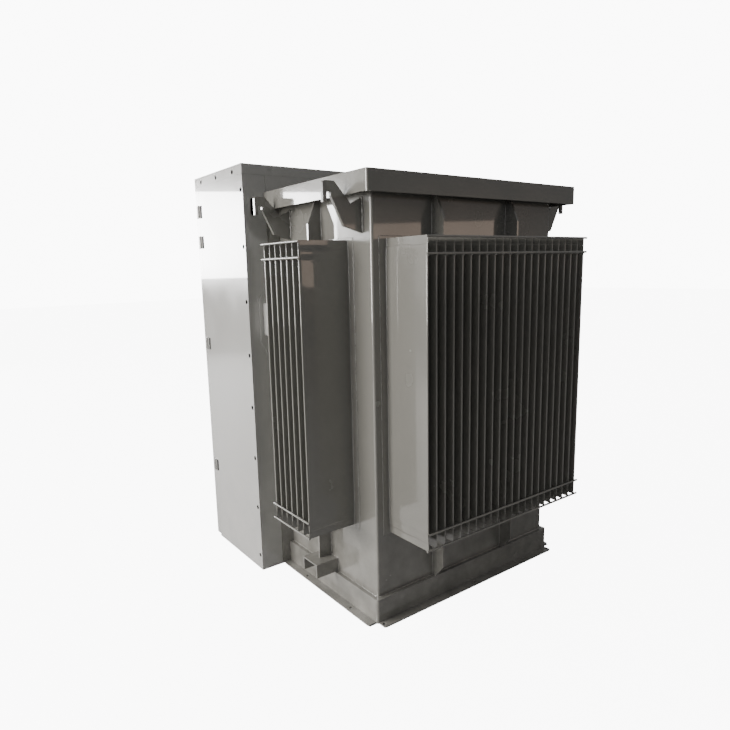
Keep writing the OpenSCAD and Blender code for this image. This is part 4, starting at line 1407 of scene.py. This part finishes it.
LAMPS = (
    Lamp("key", (5.4, -0.6, 2.4), (0.6, 0.2, 1.0), (2.6, 3.4), 620, (1.0, 0.96, 0.92)),
    Lamp("far_window", (4.0, -7.6, 2.1), (0.7, -0.3, 1.2), (3.6, 1.5), 520),
    Lamp("warm_room", (-5.5, 8.0, 1.8), (0.0, 0.7, 1.2), (5.0, 1.0), 25, (1.0, 0.76, 0.60)),
    Lamp("overhead", (0.4, -0.4, 5.0), (0.2, 0.0, 1.0), (3.0, 3.0), 70),
)


@dataclass(frozen=True)
class Floor:
    """A pale floor that the camera sees brighter than it is lit, but not inside the part's outline."""

    half: float = 30.0
    top: float = -0.5 * MM
    bottom: float = -50 * MM
    margin: float = 4 * MM
    door_depth: float = 45 * MM
    glow: float = 9.0
    darker: Colour = (0.30, 0.30, 0.30)
    lighter: Colour = (0.34, 0.34, 0.34)
    patch_scale: float = 1.5
    roughness: float = 0.6

    def covered(self, g: Surface) -> Socket:
        """Marks the foot, the shell and the cabinet, each as a rectangle |x| < half, start < y < end.

        Args:
            g: The floor's node tree.

        Returns:
            1 under the part and 0 elsewhere.
        """
        foot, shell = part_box("base_frame")[1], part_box("tank_shell")[1]
        cabinet_low, cabinet_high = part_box("cabinet_cap")
        x, y = g.along(g.place, "X"), g.along(g.place, "Y")
        under = [
            g.maths("MULTIPLY", g.maths("COMPARE", x, 0.0, half),
                    g.maths("COMPARE", y, (start + end) / 2, (end - start) / 2))
            for half, start, end in (
                (foot.x - self.margin, 0.0, shell.y + 3 * self.margin),
                (shell.x + 3 * self.margin, 0.0, foot.y - self.margin),
                (cabinet_high.x - self.margin, cabinet_low.y + self.door_depth, 0.0),
            )
        ]
        return g.maths("MAXIMUM", g.maths("MAXIMUM", under[0], under[1]), under[2])

    def build(self) -> list[Object]:
        """Makes the floor.

        Returns:
            The floor.
        """
        g = Surface("pale_floor")
        seen = g.node("ShaderNodeLightPath").outputs["Is Camera Ray"]
        g.feed(
            Base_Color=g.mixed(g.noise(self.patch_scale, 2), self.darker, self.lighter),
            Roughness=self.roughness,
            Emission_Color=(1.0, 1.0, 1.0),
            Emission_Strength=g.maths("MULTIPLY", g.span(self.covered(g), self.glow, 0.0), seen),
        )
        shape = Shape()
        shape.block((-self.half, -self.half, self.bottom), (self.half, self.half, self.top))
        floor = shape.place("floor", g.material)
        return [floor]


@dataclass(frozen=True)
class Surroundings:
    """A white backdrop for the camera, and soft light that is strong from +X and weak from +Y.

    The strength in direction d is even + side max(0, dx)^2 + top max(0, dz), and the camera sees
    backdrop more than that.
    """

    even: float = 0.15
    side: float = 0.90
    top: float = 0.22
    backdrop: float = 10.0

    def build(self) -> list[bpy.types.World]:
        """Makes the world.

        Returns:
            The world.
        """
        world = bpy.data.worlds.new("studio")
        world.use_nodes = True
        g = Graph(world.node_tree)
        ahead = g.node("ShaderNodeTexCoord").outputs["Generated"]
        right = g.maths("POWER", g.maths("MAXIMUM", g.along(ahead, "X"), 0.0), 2.0)
        above = g.maths("MAXIMUM", g.along(ahead, "Z"), 0.0)
        soft = g.maths("ADD", g.maths("MULTIPLY", right, self.side), g.maths("MULTIPLY", above, self.top))
        seen = g.node("ShaderNodeLightPath").outputs["Is Camera Ray"]
        lit = g.maths("ADD", soft, self.even)
        strength = g.maths("ADD", g.maths("MULTIPLY", seen, self.backdrop), lit)
        background = g.tree.nodes["Background"]
        g.put((1.0, 1.0, 1.0), background.inputs["Color"])
        g.put(strength, background.inputs["Strength"])
        bpy.context.scene.world = world
        return [world]


def main() -> None:
    """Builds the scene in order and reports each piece."""
    logging.basicConfig(level=logging.INFO, format="%(name)s: %(message)s")
    parts = (*LAMPS, Viewpoint(), Floor(), Surroundings(), Dressing(), FinPanels(), TankWelds(),
             HingeSlotPaintedShade(), Fittings())
    for part in parts:
        for piece in part.build():
            LOG.info("%s made %s", type(part).__name__, piece.name)


if __name__ == "__main__":
    main()
